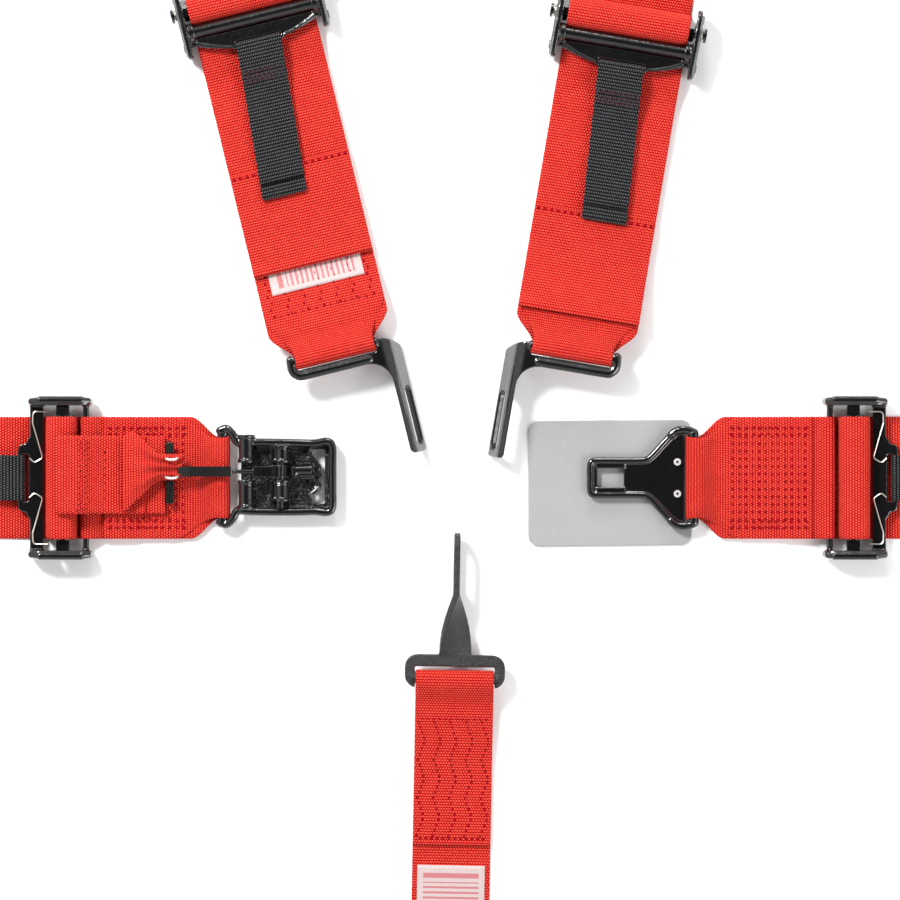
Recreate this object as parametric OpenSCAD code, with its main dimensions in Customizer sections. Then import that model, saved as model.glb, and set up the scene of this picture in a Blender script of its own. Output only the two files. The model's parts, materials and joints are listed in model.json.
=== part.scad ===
// Racing harness of the latch and link kind: five separate belts, laid out flat.
// Millimetres, +Z up. Every belt lies on the plane z = 0, shoulders towards +Y.
// A belt has its own frame: +X runs from its buckle end out to its anchor, and
// +Y runs across it. Paths of webbing are lists of [distance out, height].

/* [Overall] */
// Distance from the middle to the outer end of each lap anchor
reach_x = 600; // [500:5:720]
// Distance from the middle to the outer end of the shoulder and crotch anchors
reach_y = 560; // [465:5:675]

/* [Layout] */
// How far left of the middle the latch bar lies
latch_x = 143; // [130:1:180]
// How far right of the middle the link bar lies
link_x = 153; // [130:1:180]
// How far in front of the middle both lap belts lie
lap_front = 17.5; // [10:0.5:30]
// Sideways place of the left shoulder link's bar
left_shoulder_x = 72; // [66:1:90]
// Sideways place of the right shoulder link's bar
right_shoulder_x = 76.5; // [66:0.5:90]
// How far behind the middle the shoulder link bars lie
shoulder_back = 61; // [55:1:80]
// Outward lean of the left shoulder belt, degrees
left_lean = 13.8; // [5:0.1:20]
// Outward lean of the right shoulder belt, degrees
right_lean = 9.7; // [5:0.1:20]
// How far in front of the middle the crotch link bar lies
crotch_front = 143; // [130:1:170]
// Sideways place of the crotch link's bar
crotch_x = 3; // [-5:1:10]
// Lean of the crotch belt, degrees
crotch_lean = 1.1; // [0:0.1:3]

/* [Webbing] */
// Width of the lap and shoulder webbing
web_w = 76.2; // [62:0.1:92]
// Thickness of all the red webbing
web_t = 1.4; // [1.1:0.05:1.7]
// Air between two layers that lie on each other
layer_gap = 0.1; // [0.05:0.05:0.2]
// Width of the folded webbing where it goes round a bar
pinch_w = 50; // [42:1:56]
// Length over which the webbing widens again
pinch_len = 20; // [14:1:26]
// Width of the crotch webbing
crotch_w = 48.5; // [40:0.5:58]
// Width of the release strap's webbing
release_w = 48.5; // [40:0.5:56]
// Width of the black pull straps
pull_w = 28; // [23:0.5:34]
// Thickness of the black pull straps
pull_t = 1.2; // [1:0.1:1.5]
// Length of each pull strap
pull_len = 97; // [80:1:105]
// Length of webbing sewn back on itself at an anchor
anchor_sewn = 55; // [40:1:60]

/* [Belts] */
// Left shoulder: link bar to adjuster bar
left_adjust = 230; // [200:1:260]
// Left shoulder: link bar to the folded end of the tail
left_fold = 58; // [40:1:65]
// Right shoulder: link bar to adjuster bar
right_adjust = 211; // [185:1:250]
// Right shoulder: link bar to the folded end of the tail
right_fold = 24; // [20:1:40]
// Length of the tail's sewn fold
tail_hem = 65; // [50:1:75]
// Where the shoulder webbing's sewn layer ends
shoulder_sewn = 105; // [85:1:120]
// Lap belts: buckle bar to adjuster bar
lap_adjust = 101; // [95:1:125]
// Where the lap webbing's sewn layer ends
lap_sewn = 75; // [68:1:78]
// Where the lap tail ends, counted from the buckle bar
lap_tail = 24; // [18:1:40]
// Where the crotch webbing's sewn layer ends
crotch_sewn = 106; // [85:1:120]
// Length over which a raised belt comes down to lie flat
settle_len = 70; // [55:1:85]
// Width of the care label on the left shoulder belt
label_w = 59; // [48:1:70]
// Length of the care label on the left shoulder belt
label_len = 42; // [35:1:50]
// Width of the label on the crotch belt
crotch_label_w = 42; // [35:1:46]
// Length of the label on the crotch belt
crotch_label_len = 60; // [50:1:72]

/* [Bars] */
// Radius of the bar that webbing goes round
rail_r = 3.25; // [2.7:0.05:3.9]
// Radius of the adjusters' sewn-in bar
small_rail_r = 2; // [1.6:0.1:2.4]
// Radius of the bar that a pull strap goes round
tab_rail_r = 1.6; // [1.3:0.1:2]
// Radius of the adjusters' slide bar
bar_r = 6.7; // [5.5:0.1:8.1]
// Travel of the slide bar
bar_travel = 2.5; // [1.5:0.1:3]
// Radius of the shoulder adjusters' fixed bar
fixed_r = 4; // [3.3:0.1:4.8]

/* [Buckle] */
// Thickness of the link plates
link_t = 4; // [3.3:0.1:4.8]
// Height of the shoulder links' bar above the floor
link_z = 17; // [15:0.5:20]
// Bend of a shoulder link's leg, degrees
leg_bend = 65; // [55:1:75]
// Length of a shoulder link's leg from its bar
leg_len = 73; // [68:1:85]
// Length of the slot that the tongue goes through
tongue_slot = 38; // [32:1:40]
// Height of the slot that the tongue goes through
tongue_slot_h = 8.4; // [7:0.1:9]
// Length of the crotch link from its bar
crotch_link_len = 91; // [85:1:110]
// Height of the crotch link's blade
blade_h = 20; // [17:0.5:24]
// Length of the latch body
latch_len = 62.5; // [60:0.5:72]
// Width of the latch body
latch_w = 49; // [46:0.5:58]
// Height of the latch body's rim
latch_h = 12; // [11:0.5:14]
// Radius of the latch lever's pivot pin
pin_r = 2.5; // [2:0.1:3]
// Length of the link's tongue from its bar
tongue_len = 67; // [60:1:80]
// Width of the link's tongue
tongue_w = 25.8; // [22:0.2:31]
// Length of the pad behind the buckle
pad_len = 103; // [86:1:124]
// Width of the pad behind the buckle
pad_w = 79; // [66:1:95]
// Thickness of the pad behind the buckle
pad_t = 1.2; // [0.9:0.1:1.2]

/* [Anchors] */
// Bolt hole diameter, for a 7/16 inch bolt
bolt_d = 12; // [10:0.1:14]
// Radius of the rounded end round the bolt hole
lug_r = 20; // [17:0.5:24]
// Bolt hole to webbing bar
anchor_len = 34; // [32:1:41]
// Thickness of the anchor bracket
anchor_t = 4; // [3.3:0.1:4.8]

/* [Clearances] */
// Round a bar, between it and its webbing
eye_gap = 0.35; // [0.3:0.05:0.5]
// Between parts that move past each other
move_gap = 0.3; // [0.3:0.05:0.5]
// Between the release strap and the belt it lies on
release_gap = 0.8; // [0.6:0.1:1.5]
// Between a pin and its bore, on the radius
pin_gap = 0.04; // [0.02:0.01:0.08]
// Between the webbing's edge and the side of a slot
edge_gap = 0.8; // [0.5:0.1:1.5]

/* [Hidden] */
$fn = 32;

RED = "#d8231c";
BLACK = "#17181a";
STEEL = "#c9ccd0";
WHITE = "#f2f0ee";

// ---- Levels and wraps ----
pitch = web_t + layer_gap;
eye_r = rail_r + eye_gap + web_t / 2;
small_eye_r = small_rail_r + eye_gap + web_t / 2;
pull_eye_r = tab_rail_r + move_gap + pull_t / 2;
wrap_r = bar_r + eye_gap + web_t / 2;
roll_half = wrap_r + bar_travel / 2;
bend_r = web_t / 2 + 1.8;
fold_r = web_t / 2 + 0.4;
function level(k) = web_t / 2 + k * pitch;

// ---- Adjuster places, counted from the slide bar's middle ----
lap_bar_z = bar_r + 2.8;
lap_rail_z = level(1) + small_eye_r;
lap_rail_x = -(roll_half + web_t + small_eye_r + 1.8);
lap_plate_z = web_t + move_gap + pull_t / 2 + pull_eye_r;
lap_plate_x = roll_half + web_t / 2 + 1.9;
lap_tab_x = lap_plate_x + 14.8;
lap_plate_t = 3;
flange_in = web_w / 2 + 7.4;
flange_t = 3;
flange_top = lap_bar_z + 6;
bar_square = 8;

tail_z = level(0) + 2 * small_eye_r + pitch;
tail_rise = 2 * pitch + 0.4;
shoulder_rail_z = level(0) + small_eye_r;
shoulder_bar_z = tail_z + bend_r + 1.2;
fixed_x = -(roll_half + web_t / 2 + 0.3 + fixed_r);
fixed_z = tail_z + web_t / 2 + 0.5 + fixed_r;
shoulder_rail_x = fixed_x - 6;
crescent_z = tail_z + web_t / 2 + move_gap + pull_t / 2 + pull_eye_r;
crescent_x = fixed_x - fixed_r - 11.5;
crescent_t = 2.5;
wall_in = web_w / 2 + 3.9;
wall_t = 3;

// ---- Buckle places ----
latch_z = level(1) + eye_r;
slot_w = pinch_w + edge_gap;
far_rail_in = eye_r + web_t / 2 + 0.5;
far_rail_w = 7.6;
leg_bend_r = 8;
leg_v = slot_w / 2 + 1.6;
pivot_x = -36.5;
pivot_z = 10.5;
lever_v = -4;
lever_w = 8.6;
lever_slot = lever_w + 2 * move_gap;
lever_tip_x = -7;
lever_tip_z = 13.6;
release_z = level(3) + web_t / 2 + release_gap;
crotch_z = blade_h / 2 + 0.4;
anchor_z = level(0) + eye_r;

// ---- Belt lengths, from the buckle bar to the bolt hole ----
left_shoulder_bolt = (reach_y - lug_r - shoulder_back) / cos(left_lean);
right_shoulder_bolt = (reach_y - lug_r - shoulder_back) / cos(right_lean);
left_lap_bolt = reach_x - lug_r - latch_x;
right_lap_bolt = reach_x - lug_r - link_x;
crotch_bolt = (reach_y - lug_r - crotch_front) / cos(crotch_lean);
slide_x = crotch_bolt - anchor_len - 85;

// ---- Outlines and paths ----
function unit(v) = v / norm(v);
function side(p, i) =
    let (d = unit(p[min(i + 1, len(p) - 1)] - p[max(i - 1, 0)])) [-d[1], d[0]];
// Both faces of a sheet of thickness t that follows path p
function band(p, t) = concat(
    [for (i = [0 : len(p) - 1]) p[i] + side(p, i) * t / 2],
    [for (i = [len(p) - 1 : -1 : 0]) p[i] - side(p, i) * t / 2]);
function arc(c, r, from, to, n = 10) =
    [for (k = [0 : n]) let (a = from + (to - from) * k / n) c + r * [cos(a), sin(a)]];
function ease(x) = let (s = min(max(x, 0), 1)) s * s * (3 - 2 * s);
// A smooth S from a to b
function ramp(a, b, n = 8) =
    [for (k = [0 : n]) [a[0] + (b[0] - a[0]) * k / n, a[1] + (b[1] - a[1]) * ease(k / n)]];
// The arc that rounds corner b, between neighbours a and c
function corner(a, b, c, r, n) =
    let (p = unit(a - b), q = unit(c - b), half = acos(p * q) / 2,
         m = b + unit(p + q) * r / sin(half),
         s = b + p * r / tan(half) - m, e = b + q * r / tan(half) - m,
         from = atan2(s[1], s[0]), turn = (atan2(e[1], e[0]) - from + 540) % 360 - 180)
    arc(m, r, from, from + turn, n);
function xy(p) = [p[0], p[1]];
// A closed outline from corners [x, y, radius]
function outline(c, n = 6) =
    [for (i = [0 : len(c) - 1])
        let (a = xy(c[(i + len(c) - 1) % len(c)]), b = xy(c[i]), d = xy(c[(i + 1) % len(c)]))
        each c[i][2] == 0 ? [b] : corner(a, b, d, c[i][2], n)];
// An open path from corners [x, y, radius]
function rounded_path(c, n = 6) =
    [for (i = [0 : len(c) - 1])
        each i == 0 || i == len(c) - 1 ? [xy(c[i])]
            : corner(xy(c[i - 1]), xy(c[i]), xy(c[i + 1]), c[i][2], n)];
function slab(x0, x1, y0, y1, r) = outline([[x0, y0, r], [x1, y0, r], [x1, y1, r], [x0, y1, r]]);

// ---- Shared solids ----
module strip(path, width, t = web_t)
    translate([0, width / 2, 0]) rotate([90, 0, 0]) linear_extrude(width) polygon(band(path, t));

// Webbing that narrows to pass round a bar at x = 0 and one at x = far
module pinched_strip(path, width, near, far) {
    n = 8;
    grow = (width - pinch_w) / 2;
    start = 3;
    near_edge = [for (k = [0 : n]) [start + pinch_len * k / n, pinch_w / 2 + grow * ease(k / n)]];
    far_edge = [for (k = [n : -1 : 0]) [far - start - pinch_len * k / n, pinch_w / 2 + grow * ease(k / n)]];
    edge = concat(
        near ? concat([[-20, pinch_w / 2]], near_edge) : [[-20, width / 2]],
        far > 0 ? concat(far_edge, [[far + 20, pinch_w / 2]]) : [[2000, width / 2]]);
    other = [for (k = [len(edge) - 1 : -1 : 0]) [edge[k][0], -edge[k][1]]];
    intersection() {
        strip(path, width);
        translate([0, 0, -5]) linear_extrude(60) polygon(concat(edge, other));
    }
}

// A round bar across the belt
module cross_bar(x, z, r, half) translate([x, half, z]) rotate([90, 0, 0]) cylinder(r = r, h = 2 * half);

// A cylinder across the belt, from v0 to v1
module barrel(x, z, r, v0, v1) translate([x, v1, z]) rotate([90, 0, 0]) cylinder(r = r, h = v1 - v0);

module plate(points, z0, z1) translate([0, 0, z0]) linear_extrude(z1 - z0) polygon(points);

// A plate standing on edge along the belt, drawn as [x, z] points
module wall(points, v0, v1) translate([0, v1, 0]) rotate([90, 0, 0]) linear_extrude(v1 - v0) polygon(points);

// A slot with round ends, long in x, along the z axis
module long_slot(length, width, depth) {
    r = width / 2;
    translate([-length / 2 + r, -r, -depth / 2]) cube([length - width, width, depth]);
    for (s = [-1, 1]) translate([s * (length / 2 - r), 0, -depth / 2]) cylinder(r = r, h = depth);
}

// Round wire of diameter d along 3-D points, with the axis up never along it
module wire(points, d, up = [0, 0, 1], sides = 8) {
    last = len(points) - 1;
    rings = [for (i = [0 : last])
        let (t = unit(points[min(i + 1, last)] - points[max(i - 1, 0)]),
             n = unit(cross(t, up)), b = cross(n, t))
        for (k = [0 : sides - 1]) points[i] + d / 2 * (n * cos(360 * k / sides) + b * sin(360 * k / sides))];
    polyhedron(rings, concat(
        [[for (k = [0 : sides - 1]) k]],
        [[for (k = [sides - 1 : -1 : 0]) last * sides + k]],
        [for (i = [0 : last - 1], k = [0 : sides - 1]) let (j = (k + 1) % sides)
            [i * sides + k, (i + 1) * sides + k, (i + 1) * sides + j, i * sides + j]]));
}

function helix(r, rise, turns, per_turn = 12) =
    [for (k = [0 : turns * per_turn]) let (a = 360 * k / per_turn)
        [r * cos(a), r * sin(a), rise * k / (turns * per_turn)]];

module at_left_lap() translate([-latch_x, -lap_front, 0]) rotate(180) children();
module at_right_lap() translate([link_x, -lap_front, 0]) children();
module at_left_shoulder() translate([-left_shoulder_x, shoulder_back, 0]) rotate(90 + left_lean) children();
module at_right_shoulder() translate([right_shoulder_x, shoulder_back, 0]) rotate(90 - right_lean) children();
module at_crotch() translate([crotch_x, -crotch_front, 0]) rotate(-90 - crotch_lean) children();

// ---- Webbing over the adjusters ----
// Up, over the slide bar at [at, z] and down to level 0 on the anchor side
function over_bar(at, z) = concat(
    arc([at - bar_travel / 2, z], wrap_r, 180, 90),
    arc([at + bar_travel / 2, z], wrap_r, 90, 0),
    arc([at + roll_half + bend_r, level(0) + bend_r], bend_r, 180, 270, 6));
// Out along the floor, round the anchor's bar and sewn back
function to_anchor(bolt) = let (bar = bolt - anchor_len) concat(
    arc([bar, anchor_z], eye_r, -90, 90, 14),
    ramp([bar - 1.5, anchor_z + eye_r - 0.1], [bar - 16, level(1)]),
    [[bar - anchor_sewn, level(1)]]);

// ---- Shoulder belts ----
function settle(x, top) = level(0) + (top - eye_r - level(0)) * (1 - ease(x / settle_len));
function settled(from, to, rise, top, n = 12) =
    [for (k = [0 : n]) let (x = from + (to - from) * k / n) [x, settle(x, top) + rise]];

function shoulder_lower_path(adjust) = let (rail = adjust + shoulder_rail_x) concat(
    [[rail - 45, level(1)]],
    ramp([rail - 14, level(1)], [rail - 1, shoulder_rail_z + small_eye_r]),
    arc([rail, shoulder_rail_z], small_eye_r, 90, -90),
    settled(settle_len + 10, 3, 0, link_z),
    arc([0, link_z], eye_r, -90, -270, 14),
    ramp([1.5, link_z + eye_r - 0.1], [18, settle(18, link_z) + pitch]),
    settled(22, settle_len, pitch, link_z),
    [[shoulder_sewn, level(1)]]);

function shoulder_upper_path(adjust, fold, bolt) = let (low = tail_rise, high = tail_rise + pitch) concat(
    settled(fold + tail_hem, fold + 8, high, link_z),
    [[fold + fold_r + 3, settle(fold + fold_r + 3, link_z) + low + 2 * fold_r - 0.2]],
    arc([fold + fold_r, settle(fold + fold_r, link_z) + low + fold_r], fold_r, 90, 270, 8),
    settled(fold + fold_r + 3, max(settle_len, fold + tail_hem), low, link_z),
    ramp([adjust + crescent_x - 20, level(0) + low], [adjust + crescent_x + 4.5, tail_z]),
    arc([adjust - roll_half - bend_r, tail_z + bend_r], bend_r, -90, 0, 6),
    over_bar(adjust, shoulder_bar_z),
    to_anchor(bolt));

module shoulder_strap_lower(adjust)
    color(RED) pinched_strip(shoulder_lower_path(adjust), web_w, true, 0);

module shoulder_strap_upper(adjust, fold, bolt)
    color(RED) pinched_strip(shoulder_upper_path(adjust, fold, bolt), web_w, false, bolt - anchor_len);

// A flat ring whose far side bends down into a slotted leg, on the +Y side
module shoulder_link() {
    bend_end = [leg_v + leg_bend_r * sin(leg_bend), link_z - leg_bend_r * (1 - cos(leg_bend))];
    drop = (bend_end[1] - link_t / 2 * cos(leg_bend)) / sin(leg_bend);
    section = concat([[-slot_w, link_z]],
        arc([leg_v, link_z - leg_bend_r], leg_bend_r, 90, 90 - leg_bend),
        [bend_end + drop * [cos(leg_bend), -sin(leg_bend)]]);
    outer = far_rail_in + far_rail_w - 0.8;
    half = slot_w / 2 + 4.2;
    inner = leg_v + 4.4;
    plan = outline([
        [rail_r, -half, 3], [-outer, -half, 6.5], [-outer, inner, 14], [-leg_len, inner, 3],
        [-leg_len, half + 15, 7], [1.8, half + 15, 17]]);
    color(BLACK) {
        difference() {
            intersection() {
                translate([-leg_len - 5, 0, 0]) rotate([90, 0, 90]) linear_extrude(leg_len + 15)
                    polygon(band(section, link_t));
                plate(plan, -1, link_z + 10);
            }
            translate([-far_rail_in, -slot_w / 2, link_z - 5]) cube([far_rail_in + 10, slot_w, 10]);
            translate([-leg_len + 4.5 + tongue_slot / 2, bend_end[0], bend_end[1]]) rotate([-leg_bend, 0, 0])
                translate([0, drop / 2 - 0.3, 0]) long_slot(tongue_slot, tongue_slot_h, 20);
        }
        cross_bar(0, link_z, rail_r, slot_w / 2 + 2);
    }
}

// Side walls, sewn-in bar and the crescent plate that the pull strap hangs on
module shoulder_adjuster() {
    side_plate = outline([
        [-28, 2, 3], [14, 2, 5], [14, shoulder_bar_z + 8, 7], [-12, fixed_z + 7.5, 6], [-31, crescent_z + 4, 4]]);
    bar_slot = bar_travel + 2 * 2.8 + 2 * move_gap;
    crescent_r = (wall_in * wall_in + 90) / 19;
    crescent_turn = asin(wall_in / crescent_r);
    crescent = concat(
        arc([crescent_x - tab_rail_r + crescent_r, 0], crescent_r, 180 + crescent_turn, 180 - crescent_turn, 20),
        [[fixed_x - fixed_r - 0.5, wall_in + 1], [fixed_x - fixed_r - 0.5, -wall_in - 1]]);
    color(BLACK) {
        difference() {
            union() {
                for (s = [-1, 1]) {
                    wall(side_plate, s > 0 ? wall_in : -wall_in - wall_t, s > 0 ? wall_in + wall_t : -wall_in);
                    barrel(-22, 5, 3, s > 0 ? wall_in : -wall_in - wall_t - 2, s > 0 ? wall_in + wall_t + 2 : -wall_in);
                    barrel(9, 5, 3, s > 0 ? wall_in : -wall_in - wall_t - 2, s > 0 ? wall_in + wall_t + 2 : -wall_in);
                }
                intersection() {
                    plate(crescent, crescent_z - crescent_t / 2, crescent_z + crescent_t / 2);
                    translate([-60, -wall_in - 1, 0]) cube([100, 2 * wall_in + 2, 40]);
                }
            }
            cross_bar(fixed_x, fixed_z, 2.5, wall_in + wall_t + 1);
            for (s = [-1, 1]) translate([0, s * (wall_in + wall_t / 2), shoulder_bar_z])
                rotate([90, 0, 0]) long_slot(bar_slot, 5.6, wall_t + 2);
            translate([crescent_x - 2, -pull_w / 2 - edge_gap, crescent_z - 3])
                cube([tab_rail_r + 6, pull_w + 2 * edge_gap, 6]);
        }
        cross_bar(crescent_x, crescent_z, tab_rail_r, pull_w / 2 + edge_gap + 1);
        cross_bar(shoulder_rail_x, shoulder_rail_z, small_rail_r, wall_in + 1);
    }
}

// Bright round bar held between the walls by its reduced ends
module shoulder_fixed_bar() color(BLACK) {
    cross_bar(fixed_x, fixed_z, fixed_r, wall_in - 0.1);
    cross_bar(fixed_x, fixed_z, 2.5 - pin_gap, wall_in + wall_t);
}

bar_rest_x = -bar_travel / 2;

module shoulder_slide_bar() color(BLACK)
    difference() {
        cross_bar(bar_rest_x, shoulder_bar_z, bar_r, web_w / 2 + 0.2);
        for (s = [-1, 1]) barrel(bar_rest_x, shoulder_bar_z, 2.5, s > 0 ? web_w / 2 - 10 : -web_w / 2 - 1,
            s > 0 ? web_w / 2 + 1 : 10 - web_w / 2);
    }

module bar_side(s) translate([bar_rest_x, 0, shoulder_bar_z]) rotate([-90 * s, 0, 0]) children();

module shoulder_bar_screws() color(BLACK) for (s = [-1, 1]) bar_side(s) {
    translate([0, 0, web_w / 2 - 9.5]) cylinder(r = 2.5 - pin_gap, h = wall_in + wall_t - web_w / 2 + 12.4);
    difference() {
        translate([0, 0, wall_in + wall_t + 2.8]) cylinder(r = 4.5, h = 1.8);
        for (a = [0, 90]) rotate(a) translate([-3, -0.5, wall_in + wall_t + 3.8]) cube([6, 1, 2]);
    }
}

module shoulder_bar_nuts() color(BLACK) for (s = [-1, 1]) bar_side(s)
    translate([0, 0, web_w / 2 + 0.4]) difference() {
        cylinder(r = 5.2, h = 3, $fn = 6);
        translate([0, 0, -1]) cylinder(r = 2.5, h = 6);
    }

module shoulder_bar_springs() color(STEEL) for (s = [-1, 1]) bar_side(s)
    translate([0, 0, wall_in + wall_t + 0.6]) wire(helix(3.5, 1.6, 2), 0.7);

// Black webbing folded round its bar and sewn to itself; rest height zl, running to -X
module pull_strap(zl, length) {
    lift = zl - pull_t / 2 - move_gap;
    p = pull_t + layer_gap;
    path = concat(
        [[-length, -lift]],
        ramp([-30, -lift], [-1, -pull_eye_r]),
        arc([0, 0], pull_eye_r, -90, 90),
        ramp([-1, pull_eye_r - 0.05], [-36, -lift + p]),
        [[-length + 4, -lift + p]]);
    color(BLACK) strip(path, pull_w, pull_t);
}

module shoulder_pull_strap()
    translate([crescent_x, 0, crescent_z])
        pull_strap(crescent_z - level(1) - tail_rise - web_t / 2, pull_len);

module shoulder_label() color(WHITE)
    strip(settled(44, 44 + label_len, pitch + web_t / 2 + 0.2, link_z, 8), label_w, 0.3);

// ---- Anchor bracket, drawn with its bolt hole at the origin ----
module anchor_bracket() {
    half = slot_w / 2 + 7;
    inner = anchor_len + rail_r;
    far = anchor_len - far_rail_in;
    section = [[-inner - 1, anchor_z], [-far + 5, anchor_z], [-far + 11, anchor_t / 2], [lug_r + 1, anchor_t / 2]];
    color(BLACK) {
        difference() {
            intersection() {
                strip(section, 2 * half + 2, anchor_t);
                union() {
                    plate(outline([[-inner, -half, 3], [-far + 9, -half, 9], [0, -lug_r, 4], [1, -lug_r, 0],
                        [1, lug_r, 0], [0, lug_r, 4], [-far + 9, half, 9], [-inner, half, 3]]), -1, 20);
                    translate([0, 0, -1]) cylinder(r = lug_r, h = 20, $fn = 96);
                }
            }
            translate([-inner - 5, -slot_w / 2, -1]) cube([inner - far + 5, slot_w, 20]);
            translate([0, 0, -1]) cylinder(d = bolt_d, h = anchor_t + 4, $fn = 64);
        }
        cross_bar(-anchor_len, anchor_z, rail_r, slot_w / 2 + 2);
    }
}

// ---- Lap belts ----
function lap_inner_path() = let (rail = lap_adjust + lap_rail_x) concat(
    [[rail - 24, level(1)]],
    arc([rail, lap_rail_z], small_eye_r, -90, 90),
    ramp([rail - 1, lap_rail_z + small_eye_r - 0.05], [lap_sewn, level(2)]),
    ramp([rail - 26, level(2)], [rail - 32, level(1)], 5),
    arc([0, latch_z], eye_r, -90, -270, 14),
    ramp([1.5, latch_z + eye_r - 0.1], [16, level(2)]),
    ramp([rail - 34, level(2)], [rail - 28, level(3)], 5),
    [[lap_sewn, level(3)]]);

function lap_outer_path(bolt) = concat(
    [[lap_tail, level(0)]],
    arc([lap_adjust - roll_half - bend_r, level(0) + bend_r], bend_r, -90, 0, 6),
    over_bar(lap_adjust, lap_bar_z),
    to_anchor(bolt));

module lap_inner_strap() color(RED) pinched_strip(lap_inner_path(), web_w, true, 0);

module lap_outer_strap(bolt)
    color(RED) pinched_strip(lap_outer_path(bolt), web_w, false, bolt - anchor_len);

module lap_adjuster() {
    flange = outline([
        [-19, 1.8, 3], [lap_plate_x + 8.4, 1.8, 3], [lap_plate_x + 8.4, flange_top - 3, 6], [lap_plate_x + 3, flange_top, 6],
        [-16, flange_top, 5], [-19, flange_top - 5, 4]]);
    tab_half = pull_w / 2 + edge_gap + 6.5;
    wide = flange_in + 1;
    z0 = lap_plate_z - lap_plate_t / 2;
    z1 = lap_plate_z + lap_plate_t / 2;
    color(BLACK) translate([lap_adjust, 0, 0]) {
        difference() {
            union() {
                for (s = [-1, 1]) {
                    wall(flange, s > 0 ? flange_in : -flange_in - flange_t, s > 0 ? flange_in + flange_t : -flange_in);
                    translate([-14, s * (flange_in + flange_t + 0.5), flange_top - 1]) rotate([0, 90, 0])
                        cylinder(r = 2.4, h = lap_plate_x + 16);
                }
                plate(slab(lap_plate_x, lap_plate_x + 8.4, -wide, wide, 0.5), z0, z1);
                plate(outline([[lap_plate_x + 4, -tab_half - 6, 0], [lap_plate_x + 9.5, -tab_half - 4, 3],
                    [lap_plate_x + 11, -tab_half, 2], [lap_tab_x + 1, -tab_half, 3], [lap_tab_x + 1, tab_half, 3],
                    [lap_plate_x + 11, tab_half, 2], [lap_plate_x + 9.5, tab_half + 4, 3],
                    [lap_plate_x + 4, tab_half + 6, 0]]), z0, z1);
            }
            for (s = [-1, 1]) translate([0, s * (flange_in + flange_t / 2), lap_bar_z])
                cube([bar_square + bar_travel + 2 * move_gap, flange_t + 2, bar_square + 2 * move_gap], center = true);
            translate([lap_tab_x - tab_rail_r - 3.9, -pull_w / 2 - edge_gap, z0 - 1])
                cube([tab_rail_r + 10, pull_w + 2 * edge_gap, lap_plate_t + 2]);
        }
        cross_bar(lap_tab_x, lap_plate_z, tab_rail_r, pull_w / 2 + edge_gap + 2);
        cross_bar(lap_rail_x, lap_rail_z, small_rail_r, flange_in + 1);
    }
}

module lap_slide_bar() color(BLACK) translate([lap_adjust + bar_rest_x, 0, lap_bar_z]) {
    cross_bar(0, 0, bar_r, web_w / 2 + 1);
    cube([bar_square, 2 * (flange_in + flange_t - 0.4), bar_square], center = true);
}

// Bent wire on the plate that presses the slide bar's ends inwards
module lap_wire_spring() {
    z = lap_plate_z + lap_plate_t / 2 + 0.6;
    half = rounded_path([
        [lap_plate_x - 3, web_w / 2 + 3.6, 0], [lap_plate_x + 6.4, web_w / 2 + 3.6, 2.4],
        [lap_plate_x + 6.6, web_w / 2 - 3.6, 2.4], [lap_plate_x + 0.2, 12.6, 2.2],
        [lap_plate_x + 5.4, 9.4, 2], [lap_plate_x + 8.6, 12.4, 0]]);
    color(STEEL) translate([lap_adjust, 0, 0]) for (s = [-1, 1])
        wire([for (p = s > 0 ? half : [for (k = [len(half) - 1 : -1 : 0]) half[k]]) [p[0], s * p[1], z]], 1);
}

module lap_pull_strap()
    translate([lap_adjust + lap_tab_x, 0, lap_plate_z]) rotate(180)
        pull_strap(lap_plate_z - web_t, pull_len);

// ---- Latch, on the left lap belt; its body runs to -X ----
latch_in = -9.5;
latch_end = latch_in - latch_len;
window = [latch_end + 7.6, latch_end + 17.1];

// Cast pan with a rim, a window at its end, and barrels that carry the lever
module latch_body() {
    half = latch_w / 2;
    boss_in = [lever_v - lever_slot / 2, lever_v + lever_slot / 2];
    color(BLACK) difference() {
        union() {
            difference() {
                plate(slab(latch_end, latch_in, -half, half, 6), 0, latch_h);
                plate(slab(window[1] + 0.5, latch_in - 5.5, -half + 5.5, half - 5.5, 3), 3, latch_h + 1);
                plate(slab(window[0], window[1], -half + 6.5, half - 6.5, 2.5), -1, latch_h + 1);
            }
            for (s = [-1, 1]) {
                plate(outline([[-1, s * (slot_w / 2), 0], [-1, s * (slot_w / 2 + 7), 2], [-7, s * (slot_w / 2 + 7), 5],
                    [latch_in - 6, s * (half - 1), 3], [latch_in - 4, s * (half - 7), 2], [-far_rail_in - 1, s * (half - 6), 2],
                    [-far_rail_in, s * (slot_w / 2), 0]]), latch_z - 2.2, latch_z + 2.2);
            }
            cross_bar(0, latch_z, rail_r, slot_w / 2 + 6.8);
            barrel(-14.5, 9, 4, 1 - half, boss_in[0]);
            barrel(-14.5, 9, 4, boss_in[1], half - 4);
            barrel(pivot_x, pivot_z, 5, -half + 5, boss_in[0]);
            barrel(pivot_x, pivot_z, 5, boss_in[1] + 5, half - 5);
            translate([pivot_x - 4, -half + 5, 1]) cube([8, boss_in[0] + half - 5, pivot_z - 1]);
            translate([pivot_x - 4, boss_in[1] + 5, 1]) cube([8, half - boss_in[1] - 10, pivot_z - 1]);
        }
        barrel(pivot_x, pivot_z, pin_r, -half + 4, half - 4);
    }
}

module latch_pivot_pin() color(STEEL)
    barrel(pivot_x, pivot_z, pin_r - pin_gap, -latch_w / 2 + 5, latch_w / 2 - 5);

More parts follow.
